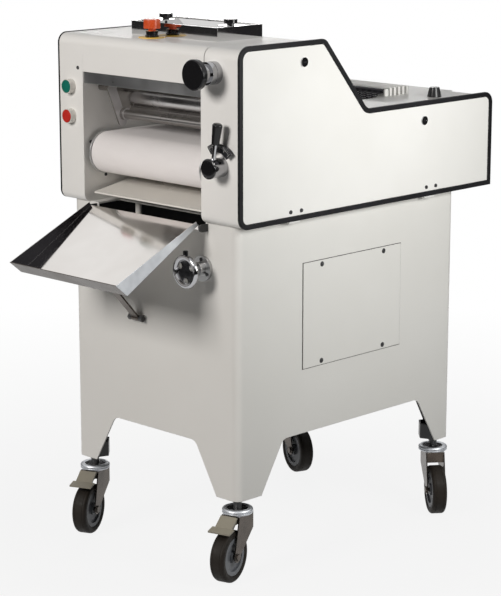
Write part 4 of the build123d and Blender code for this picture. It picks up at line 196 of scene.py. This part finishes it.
def make_finishes():
    """All finishes by name."""
    paint = {
        "bump_strength": 0.07, "bump_mm": 0.15, "edge_mm": 1.6, "Coat Weight": 0.15, "Coat Roughness": 0.2,
    }
    steel_brush, turned = (1.0, 14.0, 14.0), (20, 1, 1)
    return {
        # The stand's paint is a darker copy of the head's paint: painted shade for the lower part of the
        # machine, which gets less light
        "paint": surface_finish("cabinet_paint", (0.775, 0.765, 0.73), (0.81, 0.80, 0.77), (0.34, 0.46),
                                edge_wear_highlight_tint=(0.88, 0.87, 0.84), **paint),
        "head_paint": surface_finish("head_paint", (0.855, 0.845, 0.815), (0.895, 0.887, 0.862),
                                     (0.34, 0.46), edge_wear_highlight_tint=(0.93, 0.92, 0.90), **paint),
        # Near-black finish that paints the shade inside the stand's cabinet
        "inside_painted_shade": surface_finish("inside_painted_shade", (0.010, 0.010, 0.011), (0.020, 0.019, 0.018), (0.6, 0.8),
                                     tone_scale=12, bump_strength=0.1),
        "black_paint": surface_finish("black_paint", (0.012, 0.012, 0.013), (0.022, 0.022, 0.023),
                                      (0.35, 0.5), edge_wear_highlight_tint=(0.10, 0.10, 0.10), **paint),
        "zinc": surface_finish("zinc_plate", (0.30, 0.29, 0.28), (0.50, 0.49, 0.47), (0.26, 0.42),
                               tone_scale=18, grain_scale=260, bump_strength=0.08,
                               edge_wear_highlight_tint=(0.6, 0.6, 0.6), Metallic=1.0),
        "fork_steel": surface_finish("fork_steel", (0.045, 0.036, 0.029), (0.11, 0.09, 0.075), (0.20, 0.34),
                                     tone_scale=22, grain_scale=260, bump_strength=0.06,
                                     edge_wear_highlight_tint=(0.30, 0.28, 0.26), Metallic=0.85),
        "black_steel": surface_finish("black_steel", (0.03, 0.03, 0.032), (0.07, 0.07, 0.072), (0.3, 0.45),
                                      Metallic=0.6),
        "mirror_steel": surface_finish("mirror_steel", (0.60, 0.595, 0.59), (0.68, 0.675, 0.67),
                                       (0.04, 0.10), grain_scale=40, grain_stretch=steel_brush,
                                       bump_strength=0.012, edge_mm=0.5, Metallic=1.0),
        "dull_steel": surface_finish("dull_steel", (0.42, 0.42, 0.42), (0.54, 0.54, 0.535), (0.25, 0.4),
                                     grain_scale=80, grain_stretch=steel_brush, bump_strength=0.04,
                                     Metallic=1.0),
        "tray_steel": surface_finish("tray_steel", (0.69, 0.66, 0.63), (0.81, 0.785, 0.76), (0.05, 0.13),
                                     tone_scale=4, grain_scale=40, grain_stretch=steel_brush,
                                     bump_strength=0.012, edge_mm=0.5, Metallic=1.0),
        "satin_steel": surface_finish("satin_steel", (0.55, 0.57, 0.60), (0.67, 0.69, 0.72), (0.34, 0.5),
                                      tone_scale=30, grain_scale=220, bump_strength=0.05, Metallic=0.8),
        "arm_steel": surface_finish("arm_steel", (0.66, 0.645, 0.65), (0.76, 0.745, 0.75), (0.3, 0.45),
                                    tone_scale=30, grain_scale=220, bump_strength=0.05, Metallic=0.25),
        "blade_steel": surface_finish("blade_steel", (0.25, 0.235, 0.225), (0.38, 0.36, 0.345),
                                      (0.22, 0.36), grain_scale=50, grain_stretch=turned,
                                      bump_strength=0.02, Metallic=0.9),
        # Near-black steel: on the tray's far wall its dark base is a painted dark reflection; the ring mesh
        # takes the same finish
        "dark_steel_and_painted_reflection": surface_finish("dark_steel_and_painted_reflection", (0.010, 0.010, 0.014), (0.03, 0.028, 0.032),
                                     (0.08, 0.18), grain_scale=60, grain_stretch=steel_brush,
                                     bump_strength=0.02, Metallic=0.7),
        # Dark brown steel: painted shade and dim reflection on the tray's front lip and the strut under the
        # tray
        "painted_shade_brown_steel": surface_finish("painted_shade_brown_steel", (0.07, 0.058, 0.05), (0.12, 0.10, 0.086), (0.22, 0.36),
                                      grain_scale=60, grain_stretch=steel_brush, bump_strength=0.03,
                                      Metallic=0.8),
        "roller_steel": surface_finish("roller_steel", (0.40, 0.385, 0.375), (0.52, 0.50, 0.49),
                                       (0.18, 0.30), grain_scale=50, grain_stretch=turned,
                                       bump_strength=0.02, Metallic=1.0),
        "chrome": surface_finish("chrome", (0.70, 0.70, 0.71), (0.80, 0.80, 0.81), (0.03, 0.10),
                                 tone_scale=9, bump_strength=0.01, edge_mm=0.8, Metallic=1.0),
        # Dimmed copy of chrome: its darker base is a painted dark reflection on the handwheel, the setting
        # lever, the gap sleeve and the latch rims
        "chrome_dimmed_painted_reflection": surface_finish("chrome_dimmed_painted_reflection", (0.34, 0.34, 0.35), (0.46, 0.46, 0.47), (0.04, 0.12),
                                      tone_scale=9, bump_strength=0.01, edge_mm=0.8, Metallic=1.0),
        "edging": surface_finish("edging_rubber", (0.008, 0.008, 0.009), (0.015, 0.015, 0.017),
                                 (0.38, 0.55), grain_scale=1200, bump_strength=0.12,
                                 Specular_IOR_Level=0.15),
        "black_plastic": surface_finish("black_plastic", (0.006, 0.006, 0.007), (0.012, 0.012, 0.013),
                                        (0.10, 0.2), bump_strength=0.02, edge_mm=1.2,
                                        Specular_IOR_Level=0.3),
        "grey_plastic": surface_finish("hub_plastic", (0.13, 0.137, 0.15), (0.18, 0.188, 0.203),
                                       (0.4, 0.55), grain_scale=900, bump_strength=0.08),
        "pedal_plastic": surface_finish("pedal_plastic", (0.21, 0.195, 0.15), (0.29, 0.265, 0.21),
                                        (0.4, 0.6), grain_scale=700, bump_strength=0.12,
                                        edge_wear_highlight_tint=(0.38, 0.36, 0.31)),
        "white_plastic": surface_finish("white_plastic", (0.78, 0.76, 0.71), (0.84, 0.82, 0.77), (0.2, 0.3),
                                        bump_strength=0.02),
        "green_plastic": surface_finish("green_plastic", (0.008, 0.14, 0.10), (0.011, 0.185, 0.135),
                                        (0.15, 0.25), tone_scale=40, bump_strength=0.02),
        "red_plastic": surface_finish("red_plastic", (0.50, 0.025, 0.018), (0.60, 0.035, 0.025),
                                      (0.15, 0.25), tone_scale=40, bump_strength=0.02),
        "estop_red": surface_finish("estop_red", (0.66, 0.085, 0.022), (0.74, 0.11, 0.03), (0.2, 0.32),
                                    tone_scale=40, bump_strength=0.02),
        "estop_yellow": surface_finish("estop_yellow", (0.76, 0.47, 0.045), (0.84, 0.55, 0.07), (0.3, 0.4),
                                       tone_scale=40, bump_strength=0.03),
        "scale": surface_finish("scale_aluminium", (0.045, 0.045, 0.05), (0.085, 0.085, 0.09), (0.25, 0.4),
                                tone_scale=30, grain_stretch=steel_brush, Metallic=0.9),
        "scale_mark": surface_finish("scale_mark", (0.55, 0.55, 0.54), (0.7, 0.7, 0.69), (0.3, 0.4),
                                     tone_scale=50),
        "motor_paint": surface_finish("motor_paint", (0.05, 0.075, 0.10), (0.07, 0.10, 0.13), (0.35, 0.5),
                                      edge_wear_highlight_tint=(0.2, 0.22, 0.25), **paint),
        "drum": surface_finish("turned_aluminium", (0.60, 0.60, 0.60), (0.72, 0.72, 0.72), (0.25, 0.4),
                               grain_scale=60, grain_stretch=turned, bump_strength=0.05, Metallic=1.0),
        "tyre": surface_finish("castor_tyre", (0.010, 0.008, 0.006), (0.022, 0.017, 0.013), (0.5, 0.7),
                               tone_scale=25, grain_scale=900, bump_strength=0.2, edge_mm=0.5,
                               Specular_IOR_Level=0.2),
        "gasket": surface_finish("dark_gasket", (0.03, 0.028, 0.026), (0.05, 0.047, 0.044), (0.5, 0.7)),
        "belt": belt_fabric(),
    }


def belt_fabric():
    """White woven belt: crossed thread bump, faint flour marks and a soft sheen."""
    mat, tree, surface = new_surface("belt_fabric")
    surface.inputs["Sheen Weight"].default_value = 0.15
    surface.inputs["Sheen Roughness"].default_value = 0.5
    thread_scale, drift_scale, patch_scale, patch_stretch = 420.0, 5.0, 14.0, (1, 3, 3)
    thread_bump, thread_depth = 0.25, 0.4 * MM
    warp = add_node(tree, "ShaderNodeTexWave", {"Scale": thread_scale, "Distortion": 0.6, "Detail": 1.0},
                    bands_direction="X")
    weft = add_node(tree, "ShaderNodeTexWave", {"Scale": thread_scale, "Distortion": 0.6, "Detail": 1.0},
                    bands_direction="DIAGONAL")
    coords = place(tree, (1, 1, 1))
    tree.links.new(coords, warp.inputs["Vector"])
    tree.links.new(coords, weft.inputs["Vector"])
    weave = add_node(tree, "ShaderNodeMath", operation="MULTIPLY")
    tree.links.new(warp.outputs["Fac"], weave.inputs[0])
    tree.links.new(weft.outputs["Fac"], weave.inputs[1])
    clean = ramp(tree, noise(tree, drift_scale), (0.86, 0.82, 0.81), (0.90, 0.87, 0.86))
    threads = weave.outputs["Value"]
    dusty = ramp(tree, threads, (0.80, 0.765, 0.75), (0.92, 0.89, 0.88), start=0.1, end=0.8)
    patch = spread(tree, noise(tree, patch_scale, patch_stretch), low=0.15, high=0.6)
    tree.links.new(mix_colours(tree, patch, clean, dusty), surface.inputs["Base Color"])
    tree.links.new(spread(tree, threads, low=0.75, high=0.9), surface.inputs["Roughness"])
    tree.links.new(bump(tree, threads, None, thread_bump, thread_depth), surface.inputs["Normal"])
    return mat


FINISH = make_finishes()

NODE_FINISH = {
    # The stand takes the darker copy of the head paint, which is painted shade
    "paint": ["stand_shell", "access_panel"],
    "head_paint": ["left_casing", "right_casing", "front_cover", "rear_cover", "left_side_cover",
                   "right_side_cover"],
    "black_paint": ["stand_brackets"],
    "zinc": ["motor_sprocket", "drive_chain"],
    "fork_steel": [f"{c}_castor_fork" for c in CASTORS],
    "black_steel": ["panel_screws"],
    "dull_steel": ["chain_mesh", "belt_bed", "handwheel_flange", "front_guard"],
    "blade_steel": ["scraper"],
    "painted_shade_brown_steel": ["tray_strut"],
    "roller_steel": ["front_sheeting_roller", "rear_sheeting_roller"],
    "mirror_steel": ["hopper"],
    "tray_steel": ["tray"],
    "chrome_dimmed_painted_reflection": ["index_lever", "handwheel", "gap_knob_sleeve"],
    "edging": ["left_cover_trim", "right_cover_trim"],
    "tyre": [f"{c}_castor_tyre" for c in CASTORS],
    "grey_plastic": [f"{c}_castor_hub" for c in CASTORS],
    "pedal_plastic": ["front_right_brake_pedal", "front_left_brake_pedal"],
    "black_plastic": ["gap_knob", "lever_grip", "left_thumb_knob", "right_thumb_knob", "deck_knob",
                      "front_cover_latch", "rear_cover_latch", "cable_inlet"],
    "white_plastic": ["button_bezels", "pressing_board"],
    "green_plastic": ["start_button"],
    "red_plastic": ["stop_button"],
    "estop_red": ["estop_button"],
    "estop_yellow": ["estop_base"],
    "belt": ["conveyor_belt"],
    "drum": ["front_drum", "rear_drum"],
    "scale": ["index_sector"],
    "motor_paint": ["drive_motor"],
}


def dress_nodes():
    """Give every sub-part its finish."""
    for finish, names in NODE_FINISH.items():
        for name in names:
            mesh = NODES[name].data
            mesh.materials.clear()
            mesh.materials.append(FINISH[finish])


def tint_faces(node, finish, chosen):
    """Give another finish to the faces of a sub-part that a test on middle, normal and corners picks."""
    mesh = NODES[node].data
    mesh.materials.append(FINISH[finish])
    index = len(mesh.materials) - 1
    for face in mesh.polygons:
        points = [mesh.vertices[i].co for i in face.vertices]
        if chosen(face.center, face.normal, points):
            face.material_index = index


def paint_inside_shade():
    """Near-black painted shade on the stand's inner faces, which show under the pressing board."""
    low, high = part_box("stand_shell")
    sheet = 2 * MM

    def is_inner(middle, normal, points):
        return all(
            low.x + sheet < p.x < high.x - sheet
            and low.y + sheet < p.y < high.y - sheet
            and p.z < high.z - sheet
            for p in points
        )

    tint_faces("stand_shell", "inside_painted_shade", is_inner)


def darken_hinge_screws():
    """Dark heads on the hinge screws that stand out from the right cover."""
    cover_reach = 3.6 * MM
    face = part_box("right_cover_trim")[0].x + cover_reach
    tint_faces("right_side_cover", "black_steel", lambda middle, normal, points: middle.x > face)


def polish_castor_heads():
    """Bright plate on the round top of each castor fork."""
    head = 12 * MM
    for castor in CASTORS:
        node = f"{castor}_castor_fork"
        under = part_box(node)[1].z - head
        tint_faces(node, "chrome", lambda middle, normal, points: min(p.z for p in points) > under)


def polish_latches():
    """Dimmed chrome, which paints a darker reflection, on the rim and slot of the two latches, whose outer
    faces stay black.
    """
    rim_most = 0.5
    for node in ("front_cover_latch", "rear_cover_latch"):
        tint_faces(node, "chrome_dimmed_painted_reflection", lambda middle, normal, points: normal.x < rim_most)


def dress_scraper():
    """Bright flanks on the scraper's two arms."""
    tint_faces("scraper", "arm_steel", lambda middle, normal, points: abs(normal.x) > SQUARE_ON)


def dress_tray():
    """Tray finishes by side: a dark inside of the far wall, which is a painted reflection, a satin near
    wall, and a brown front lip, which is painted shade and reflection.
    """
    low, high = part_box("tray")
    centre = (low.x + high.x) / 2
    lip_share, front_lean = 0.28, -0.3
    lip_end = low.y + lip_share * (high.y - low.y)

    def is_far_wall(middle, normal, points):
        return normal.x > SQUARE_ON and middle.x < centre

    def is_near_wall(middle, normal, points):
        return normal.x > SQUARE_ON and middle.x > centre

    def is_lip(middle, normal, points):
        return normal.y < front_lean and middle.y < lip_end

    # Painted dark reflection on the far wall and painted shade on the front lip
    tint_faces("tray", "dark_steel_and_painted_reflection", is_far_wall)
    tint_faces("tray", "satin_steel", is_near_wall)
    tint_faces("tray", "painted_shade_brown_steel", is_lip)


# Mesh helpers

def new_piece(name, bm, body, finish, smooth_deg=35):
    """Turn a bmesh into a piece that rides on a body."""
    bmesh.ops.recalc_face_normals(bm, faces=bm.faces)
    mesh = bpy.data.meshes.new(name)
    bm.to_mesh(mesh)
    bm.free()
    mesh.shade_smooth()
    mesh.set_sharp_from_angle(angle=radians(smooth_deg))
    mesh.materials.append(FINISH[finish])
    obj = bpy.data.objects.new(name, mesh)
    bpy.context.scene.collection.objects.link(obj)
    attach(obj, body)
    return obj


def lathe(bm, profile, origin, axis, steps=48, ring=False):
    """Revolve (radius, height) points about an axis; closed in on itself when ring is set."""
    turn = Vector(UP).rotation_difference(Vector(axis)).to_matrix()
    rows = []
    for radius, height in profile:
        if radius == 0:
            rows.append([bm.verts.new(Vector(origin) + turn @ Vector((0, 0, height)))])
            continue
        circle = []
        for n in range(steps):
            angle = tau * n / steps
            point = Vector((radius * cos(angle), radius * sin(angle), height))
            circle.append(bm.verts.new(Vector(origin) + turn @ point))
        rows.append(circle)
    pairs = list(zip(rows, rows[1:]))
    if ring:
        pairs.append((rows[-1], rows[0]))
    for first, second in pairs:
        for n in range(steps):
            corners = [first[n % len(first)], first[(n + 1) % len(first)],
                       second[(n + 1) % len(second)], second[n % len(second)]]
            unique = list(dict.fromkeys(corners))
            if len(unique) > 2:
                bm.faces.new(unique)


def block(bm, low, high, matrix=None):
    """An axis-aligned box between two corners, optionally moved by a matrix."""
    low, high = Vector(low), Vector(high)
    made = bmesh.ops.create_cube(bm, size=1.0)["verts"]
    size = high - low
    middle = (high + low) / 2
    for vert in made:
        vert.co = Vector((vert.co.x * size.x, vert.co.y * size.y, vert.co.z * size.z)) + middle
        if matrix is not None:
            vert.co = matrix @ vert.co


def in_metres(profile):
    """A profile written in millimetres, in metres."""
    return [(radius * MM, height * MM) for radius, height in profile]


def joint_point(name):
    """Where a joint's axis passes, in the row frame."""
    return Vector(JOINTS[name]["pos_m"])


def islands(node):
    """Lowest and highest corner of each separate solid in a node."""
    weld = 0.001 * MM
    bm = bmesh.new()
    bm.from_mesh(NODES[node].data)
    bmesh.ops.remove_doubles(bm, verts=bm.verts, dist=weld)
    left = set(bm.verts)
    found = []
    while left:
        stack = [left.pop()]
        group = list(stack)
        while stack:
            for edge in stack.pop().link_edges:
                for vert in edge.verts:
                    if vert in left:
                        left.remove(vert)
                        stack.append(vert)
                        group.append(vert)
        low = Vector([min(v.co[i] for v in group) for i in range(3)])
        high = Vector([max(v.co[i] for v in group) for i in range(3)])
        found.append((low, high))
    bm.free()
    return sorted(found, key=lambda pair: tuple(pair[0]))


# Trim pieces

def lever_cap():
    """Black domed cap on the setting lever's hub."""
    hub = joint_point("setting_lever_swing")
    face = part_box("index_lever")[0].y
    bm = bmesh.new()
    profile = [(0, 2.2), (12, 2.0), (18, 1.5), (22, 0.6), (23.4, -0.4), (23.4, -2.6), (22.7, -2.7)]
    lathe(bm, in_metres(profile), (hub.x, face, hub.z), (0, -1, 0))
    new_piece("lever_cap", bm, "setting_lever", "black_plastic")


def wheel_peg():
    """Black sleeve on the handwheel's short rim peg."""
    low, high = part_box("handwheel")
    centre = joint_point("handwheel_turn")
    rim_radius = 6.5 * MM
    bm = bmesh.new()
    profile = [(0, 0.6), (4.5, 0.5), (5.8, -0.6), (6.0, -3), (6.0, -9), (5.2, -9.6)]
    lathe(bm, in_metres(profile), (centre.x, low.y + rim_radius, high.z), UP, steps=24)
    new_piece("handwheel_peg", bm, "handwheel", "black_plastic")


def stop_neck():
    """Black ribbed neck round the emergency stop's collar."""
    low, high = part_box("estop_base")
    seat = 2.1
    height = (high.z - low.z) / MM
    bm = bmesh.new()
    profile = [(14.1, height), (15.2, height - 0.6), (15.2, height - 3), (14.5, height - 3.6)]
    profile += [(14.5, 7), (16.5, 6), (16.5, seat), (14.1, seat)]
    middle = (low + high) / 2
    lathe(bm, in_metres(profile), (middle.x, middle.y, low.z), UP, steps=40, ring=True)
    new_piece("estop_neck", bm, "machine", "black_plastic")


def scale_marks():
    """Pale graduation lines on the sector behind the setting lever."""
    hub = joint_point("setting_lever_swing")
    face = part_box("index_sector")[0].y
    first_deg, last_deg, step_deg, long_every = 42, 122, 5, 4
    long_start, short_start, mark_end = 42 * MM, 46.5 * MM, 53 * MM
    raised, sunk, half_width = 0.25 * MM, 0.1 * MM, 0.45 * MM
    bm = bmesh.new()
    for count, degrees in enumerate(range(first_deg, last_deg + 1, step_deg)):
        start = long_start if count % long_every == 0 else short_start
        turn = Matrix.Translation((hub.x, face, hub.z)) @ Matrix.Rotation(-radians(degrees), 4, "Y")
        block(bm, (start, -raised, -half_width), (mark_end, sunk, half_width), turn)
    new_piece("scale_marks", bm, "machine", "scale_mark")


def mesh_rings():
    """Fine ring mesh hanging from its bar down to the belt."""
    low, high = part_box("chain_mesh")
    hinge = joint_point("chain_mesh_lift")
    tilt, ring_lean = radians(15), radians(16)
    pitch, ring_r, wire_r, bar_bore, sleeve_r = 10.0 * MM, 6.2 * MM, 1.0 * MM, 4.1 * MM, 6.5 * MM
    first_share, end_gap, wire_sides, ring_steps = 0.6, 2 * MM, 5, 10
    length = (hinge.y - low.y) / cos(tilt) - end_gap
    columns = int((high.x - low.x - 2 * ring_r) / pitch) + 1
    rows = int((length - sleeve_r - ring_r) / pitch) + 1
    start_x = (low.x + high.x - (columns - 1) * pitch) / 2
    along = Vector((0, -cos(tilt), -sin(tilt)))
    upright = Vector((0, -sin(tilt), cos(tilt)))
    turns = [tau * k / wire_sides for k in range(wire_sides)]
    profile = [(ring_r + wire_r * cos(a), wire_r * sin(a)) for a in turns]
    bm = bmesh.new()
    for row in range(rows):
        down = sleeve_r + ring_r * first_share + row * pitch
        for column in range(columns):
            lean = ring_lean * (1 if (row + column) % 2 else -1)
            axis = Matrix.Rotation(lean, 3, along) @ upright
            offset = Vector((start_x + column * pitch, hinge.y, hinge.z))
            lathe(bm, profile, offset + along * down, axis, ring_steps, ring=True)
    width = high.x - low.x
    sleeve = [(bar_bore, 0), (sleeve_r, 0), (sleeve_r, width), (bar_bore, width)]
    lathe(bm, sleeve, (low.x, hinge.y, hinge.z), (1, 0, 0), steps=24, ring=True)
    piece = new_piece("ring_mesh", bm, "chain_mesh", "dark_steel_and_painted_reflection")
    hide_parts("chain_mesh")


def screw_head(bm, origin, axis, radius, height):
    """A pan-head screw with a cross recess."""
    steps, arm_every = 16, 4
    arm_share, web_share, floor_share, web_level = 0.5, 0.2, 0.35, 0.98
    shares = [(1, 0), (1, 0.45), (0.86, 0.8), (0.62, 1)]
    lathe(bm, [(radius * r, height * h) for r, h in shares], origin, axis, steps)
    turn = Vector(UP).rotation_difference(Vector(axis)).to_matrix()
    bm.verts.ensure_lookup_table()
    rim = bm.verts[-steps:]
    depth = height * floor_share
    inner = []
    for n in range(steps):
        angle = tau * n / steps
        in_arm = n % arm_every == 0
        reach = radius * (arm_share if in_arm else web_share)
        level = depth if in_arm else height * web_level
        point = Vector((reach * cos(angle), reach * sin(angle), level))
        inner.append(bm.verts.new(Vector(origin) + turn @ point))
    floor = bm.verts.new(Vector(origin) + turn @ Vector((0, 0, depth)))
    for n in range(steps):
        m = (n + 1) % steps
        bm.faces.new([rim[n], rim[m], inner[m], inner[n]])
        bm.faces.new([inner[n], inner[m], floor])


def screws():
    """Cross-head screws in place of the plain heads, each along its own thin direction."""
    centre = (cad_box[0] + cad_box[1]) / 2
    bm = bmesh.new()
    for low, high in islands("panel_screws"):
        size = high - low
        thin = min(range(3), key=lambda i: size[i])
        axis = Vector((0, 0, 0))
        middle = (low + high) / 2
        axis[thin] = 1 if middle[thin] > centre[thin] else -1
        base = middle - axis * size[thin] / 2
        screw_head(bm, base, axis, max(size) / 2, size[thin])
    piece = new_piece("screw_heads", bm, "machine", "black_steel", smooth_deg=28)
    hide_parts("panel_screws")


def panel_washers():
    """Dark washer round each screw of the access panel."""
    low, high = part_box("access_panel")
    outer_r, face_r, edge_h, face_h, bore_share = 6.3 * MM, 5.6 * MM, 0.5 * MM, 1.0 * MM, 0.94
    bm = bmesh.new()
    for first, last in islands("panel_screws"):
        middle = (first + last) / 2
        if not (low.x < middle.x and low.z < middle.z < high.z):
            continue
        bore_r = bore_share * (last.z - first.z) / 2
        profile = [(bore_r, 0), (outer_r, 0), (outer_r, edge_h), (face_r, face_h), (bore_r, face_h)]
        lathe(bm, profile, (first.x, middle.y, middle.z), (1, 0, 0), steps=32, ring=True)
    new_piece("panel_washers", bm, "machine", "black_steel")


def wall_screws():
    """Two dark screws on the left bearing wall, seen through the front opening."""
    low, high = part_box("left_casing")
    radius, height = 4.2 * MM, 2.0 * MM
    places = ((22 * MM, 145 * MM), (69 * MM, 60 * MM))
    bm = bmesh.new()
    for behind, above in places:
        screw_head(bm, (high.x, low.y + behind, low.z + above), (1, 0, 0), radius, height)
    new_piece("wall_screws", bm, "machine", "black_steel", smooth_deg=28)


def bearing_rings():
    """Double swivel race round each castor's head, rounded over its top."""
    upper = [(25.0, -0.3), (27.0, 1.0), (30.0, 1.8), (33.0, 1.3), (35.3, 0.0), (36.8, -2.0)]
    upper += [(37.2, -4.2), (36.3, -5.7), (35.0, -6.1)]
    lower = [(35.0, -6.7), (36.4, -7.1), (37.0, -8.4), (36.8, -10.0), (35.8, -11.2), (34.4, -11.6)]
    for castor in CASTORS:
        axis = joint_point(f"{castor}_swivel")
        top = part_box(f"{castor}_castor_fork")[1].z
        bm = bmesh.new()
        lathe(bm, in_metres(upper + lower), (axis.x, axis.y, top), UP, ring=True)
        new_piece(f"{castor}_swivel_race", bm, f"{castor}_castor", "satin_steel")


def tyres():
    """Moulded tyres with a stepped side wall and two shallow tread lines."""
    side_wall = [(45.5, 16.1), (47.5, 17.7), (52.5, 18.1), (53.5, 18.5), (55.5, 18.5), (58.2, 17.96)]
    shoulder = [(60.45, 16.45), (61.97, 14.18), (62.5, 11.5)]
    tread = [(62.5, 10.2), (61.9, 9.9), (61.9, 9.1), (62.5, 8.8), (62.5, 4.0)]
    half = side_wall + shoulder + tread
    profile = half + [(radius, -height) for radius, height in reversed(half)]
    for castor in CASTORS:
        spin = JOINTS[f"{castor}_roll"]
        bm = bmesh.new()
        lathe(bm, in_metres(profile), spin["pos_m"], spin["axis"], steps=96, ring=True)
        piece = new_piece(f"{castor}_tyre", bm, f"{castor}_wheel", "tyre", smooth_deg=50)
        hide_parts(f"{castor}_castor_tyre")


def panel_gasket():
    """Thin dark seal showing round the access panel."""
    low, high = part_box("access_panel")
    lip, depth = 1.4 * MM, 1.0 * MM
    wall = low.x
    bm = bmesh.new()
    block(bm, (wall, low.y - lip, high.z), (wall + depth, high.y + lip, high.z + lip))
    block(bm, (wall, low.y - lip, low.z - lip), (wall + depth, high.y + lip, low.z))
    block(bm, (wall, low.y - lip, low.z), (wall + depth, low.y, high.z))
    block(bm, (wall, high.y, low.z), (wall + depth, high.y + lip, high.z))
    new_piece("access_gasket", bm, "machine", "gasket")


# Studio

def white_backdrop(tree, lit_shader, out, share):
    """Show white to camera, glossy and transmission rays; share, where given, is the white's part."""
    path = add_node(tree, "ShaderNodeLightPath")
    first = add_node(tree, "ShaderNodeMath", operation="MAXIMUM")
    seen = add_node(tree, "ShaderNodeMath", operation="MAXIMUM")
    tree.links.new(path.outputs["Is Camera Ray"], first.inputs[0])
    tree.links.new(path.outputs["Is Glossy Ray"], first.inputs[1])
    tree.links.new(first.outputs["Value"], seen.inputs[0])
    tree.links.new(path.outputs["Is Transmission Ray"], seen.inputs[1])
    factor = seen.outputs["Value"]
    if share is not None:
        part = add_node(tree, "ShaderNodeMath", operation="MULTIPLY")
        tree.links.new(factor, part.inputs[0])
        tree.links.new(share, part.inputs[1])
        factor = part.outputs["Value"]
    mix = add_node(tree, "ShaderNodeMixShader")
    tree.links.new(factor, mix.inputs["Fac"])
    tree.links.new(lit_shader, mix.inputs[1])
    kind = "ShaderNodeEmission" if out.type == "OUTPUT_MATERIAL" else "ShaderNodeBackground"
    white = add_node(tree, kind, {"Color": (1, 1, 1, 1), "Strength": 1.0})
    tree.links.new(white.outputs[0], mix.inputs[2])
    tree.links.new(mix.outputs["Shader"], out.inputs["Surface"])


def stage_mesh(name, bm, mat):
    """A stage object from a bmesh."""
    mesh = bpy.data.meshes.new(name)
    bm.to_mesh(mesh)
    bm.free()
    mesh.materials.append(mat)
    obj = bpy.data.objects.new(name, mesh)
    bpy.context.scene.collection.objects.link(obj)
    return obj


def make_floor():
    """Plain pale floor that turns white away from the object and keeps its soft shadow."""
    near_white, far_white, near_m, far_m, reach, tint_scale = 0.88, 1.0, 0.6, 2.6, 40.0, 1.5
    mat, tree, surface = new_surface("studio_floor")
    tint = ramp(tree, noise(tree, tint_scale), (0.26, 0.26, 0.26), (0.30, 0.30, 0.30))
    tree.links.new(tint, surface.inputs["Base Color"])
    surface.inputs["Roughness"].default_value = 0.85
    surface.inputs["Specular IOR Level"].default_value = 0.1
    out = next(n for n in tree.nodes if n.type == "OUTPUT_MATERIAL")
    distance = add_node(tree, "ShaderNodeVectorMath", operation="LENGTH")
    tree.links.new(place(tree, (1, 1, 1)), distance.inputs[0])
    share = spread(tree, distance.outputs["Value"], near_white, far_white, near_m, far_m)
    white_backdrop(tree, surface.outputs["BSDF"], out, share)
    corners = ((-reach, -reach), (reach, -reach), (reach, reach), (-reach, reach))
    bm = bmesh.new()
    bm.faces.new([bm.verts.new((x, y, 0)) for x, y in corners])
    stage_mesh("studio_floor", bm, mat)


def make_surround():
    """Low dark screen round the set, which only the glossy surfaces show."""
    radius, low, high, steps, tint_scale = 3.2, 0.0, 1.5, 64, 0.8
    mat, tree, surface = new_surface("dark_screen")
    tint = ramp(tree, noise(tree, tint_scale), (0.018, 0.018, 0.021), (0.035, 0.034, 0.036))
    tree.links.new(tint, surface.inputs["Base Color"])
    surface.inputs["Roughness"].default_value = 0.9
    bm = bmesh.new()
    lathe(bm, [(radius, low), (radius, high)], (0, 0, 0), UP, steps)
    screen = stage_mesh("dark_screen", bm, mat)
    screen.visible_camera = False
    screen.visible_diffuse = False
    screen.visible_transmission = False
    screen.visible_shadow = False


def make_world():
    """Even soft surround light, seen as white."""
    level = 0.03
    world = bpy.data.worlds.new("studio")
    bpy.context.scene.world = world
    world.use_nodes = True
    tree = world.node_tree
    tree.nodes.clear()
    out = add_node(tree, "ShaderNodeOutputWorld")
    soft = add_node(tree, "ShaderNodeBackground", {"Color": (1, 0.985, 0.965, 1), "Strength": level})
    white_backdrop(tree, soft.outputs["Background"], out, None)


def soft_box(name, position, target, size, power, colour):
    """A square area lamp aimed at a point."""
    lamp = bpy.data.lights.new(name, "AREA")
    lamp.shape = "SQUARE"
    lamp.size = size
    lamp.energy = power
    lamp.color = colour
    obj = bpy.data.objects.new(name, lamp)
    obj.location = position
    obj.rotation_euler = (Vector(target) - Vector(position)).to_track_quat("-Z", "Y").to_euler()
    obj.visible_camera = False
    bpy.context.scene.collection.objects.link(obj)


def make_lights():
    """Near lamp on the right, a large one high in front and a weak one behind on the left."""
    soft_box("key_right", (1.5, 0.17, 1.29), (0.3, 0.17, 1.14), size=0.65, power=17.8, colour=(1, 1, 0.98))
    soft_box("key_front", (0.0, -3.9, 2.5), (0.0, -0.3, 0.9), size=1.2, power=108, colour=(1, 0.965, 0.935))
    soft_box("back_left", (-2.6, 2.6, 0.9), (0.0, 0.1, 0.7), size=1.6, power=50, colour=(1, 0.99, 0.97))


def make_camera():
    """Camera at the photograph's viewpoint."""
    azimuth, pitch = radians(44.538), radians(12.67)
    data = bpy.data.cameras.new("camera")
    data.sensor_width = 36.0
    data.lens = 125.2
    data.clip_end = 200.0
    camera = bpy.data.objects.new("camera", data)
    camera.location = (3.53436, -3.58493, 1.72745)
    camera.rotation_euler = (pi / 2 - pitch, 0, azimuth)
    bpy.context.scene.collection.objects.link(camera)
    bpy.context.scene.camera = camera


dress_nodes()
paint_inside_shade()
darken_hinge_screws()
dress_tray()
dress_scraper()
polish_castor_heads()
polish_latches()
lever_cap()
wheel_peg()
stop_neck()
scale_marks()
mesh_rings()
screws()
panel_washers()
wall_screws()
bearing_rings()
tyres()
panel_gasket()
make_floor()
make_surround()
make_world()
make_lights()
make_camera()
bpy.context.scene.view_settings.view_transform = "Standard"
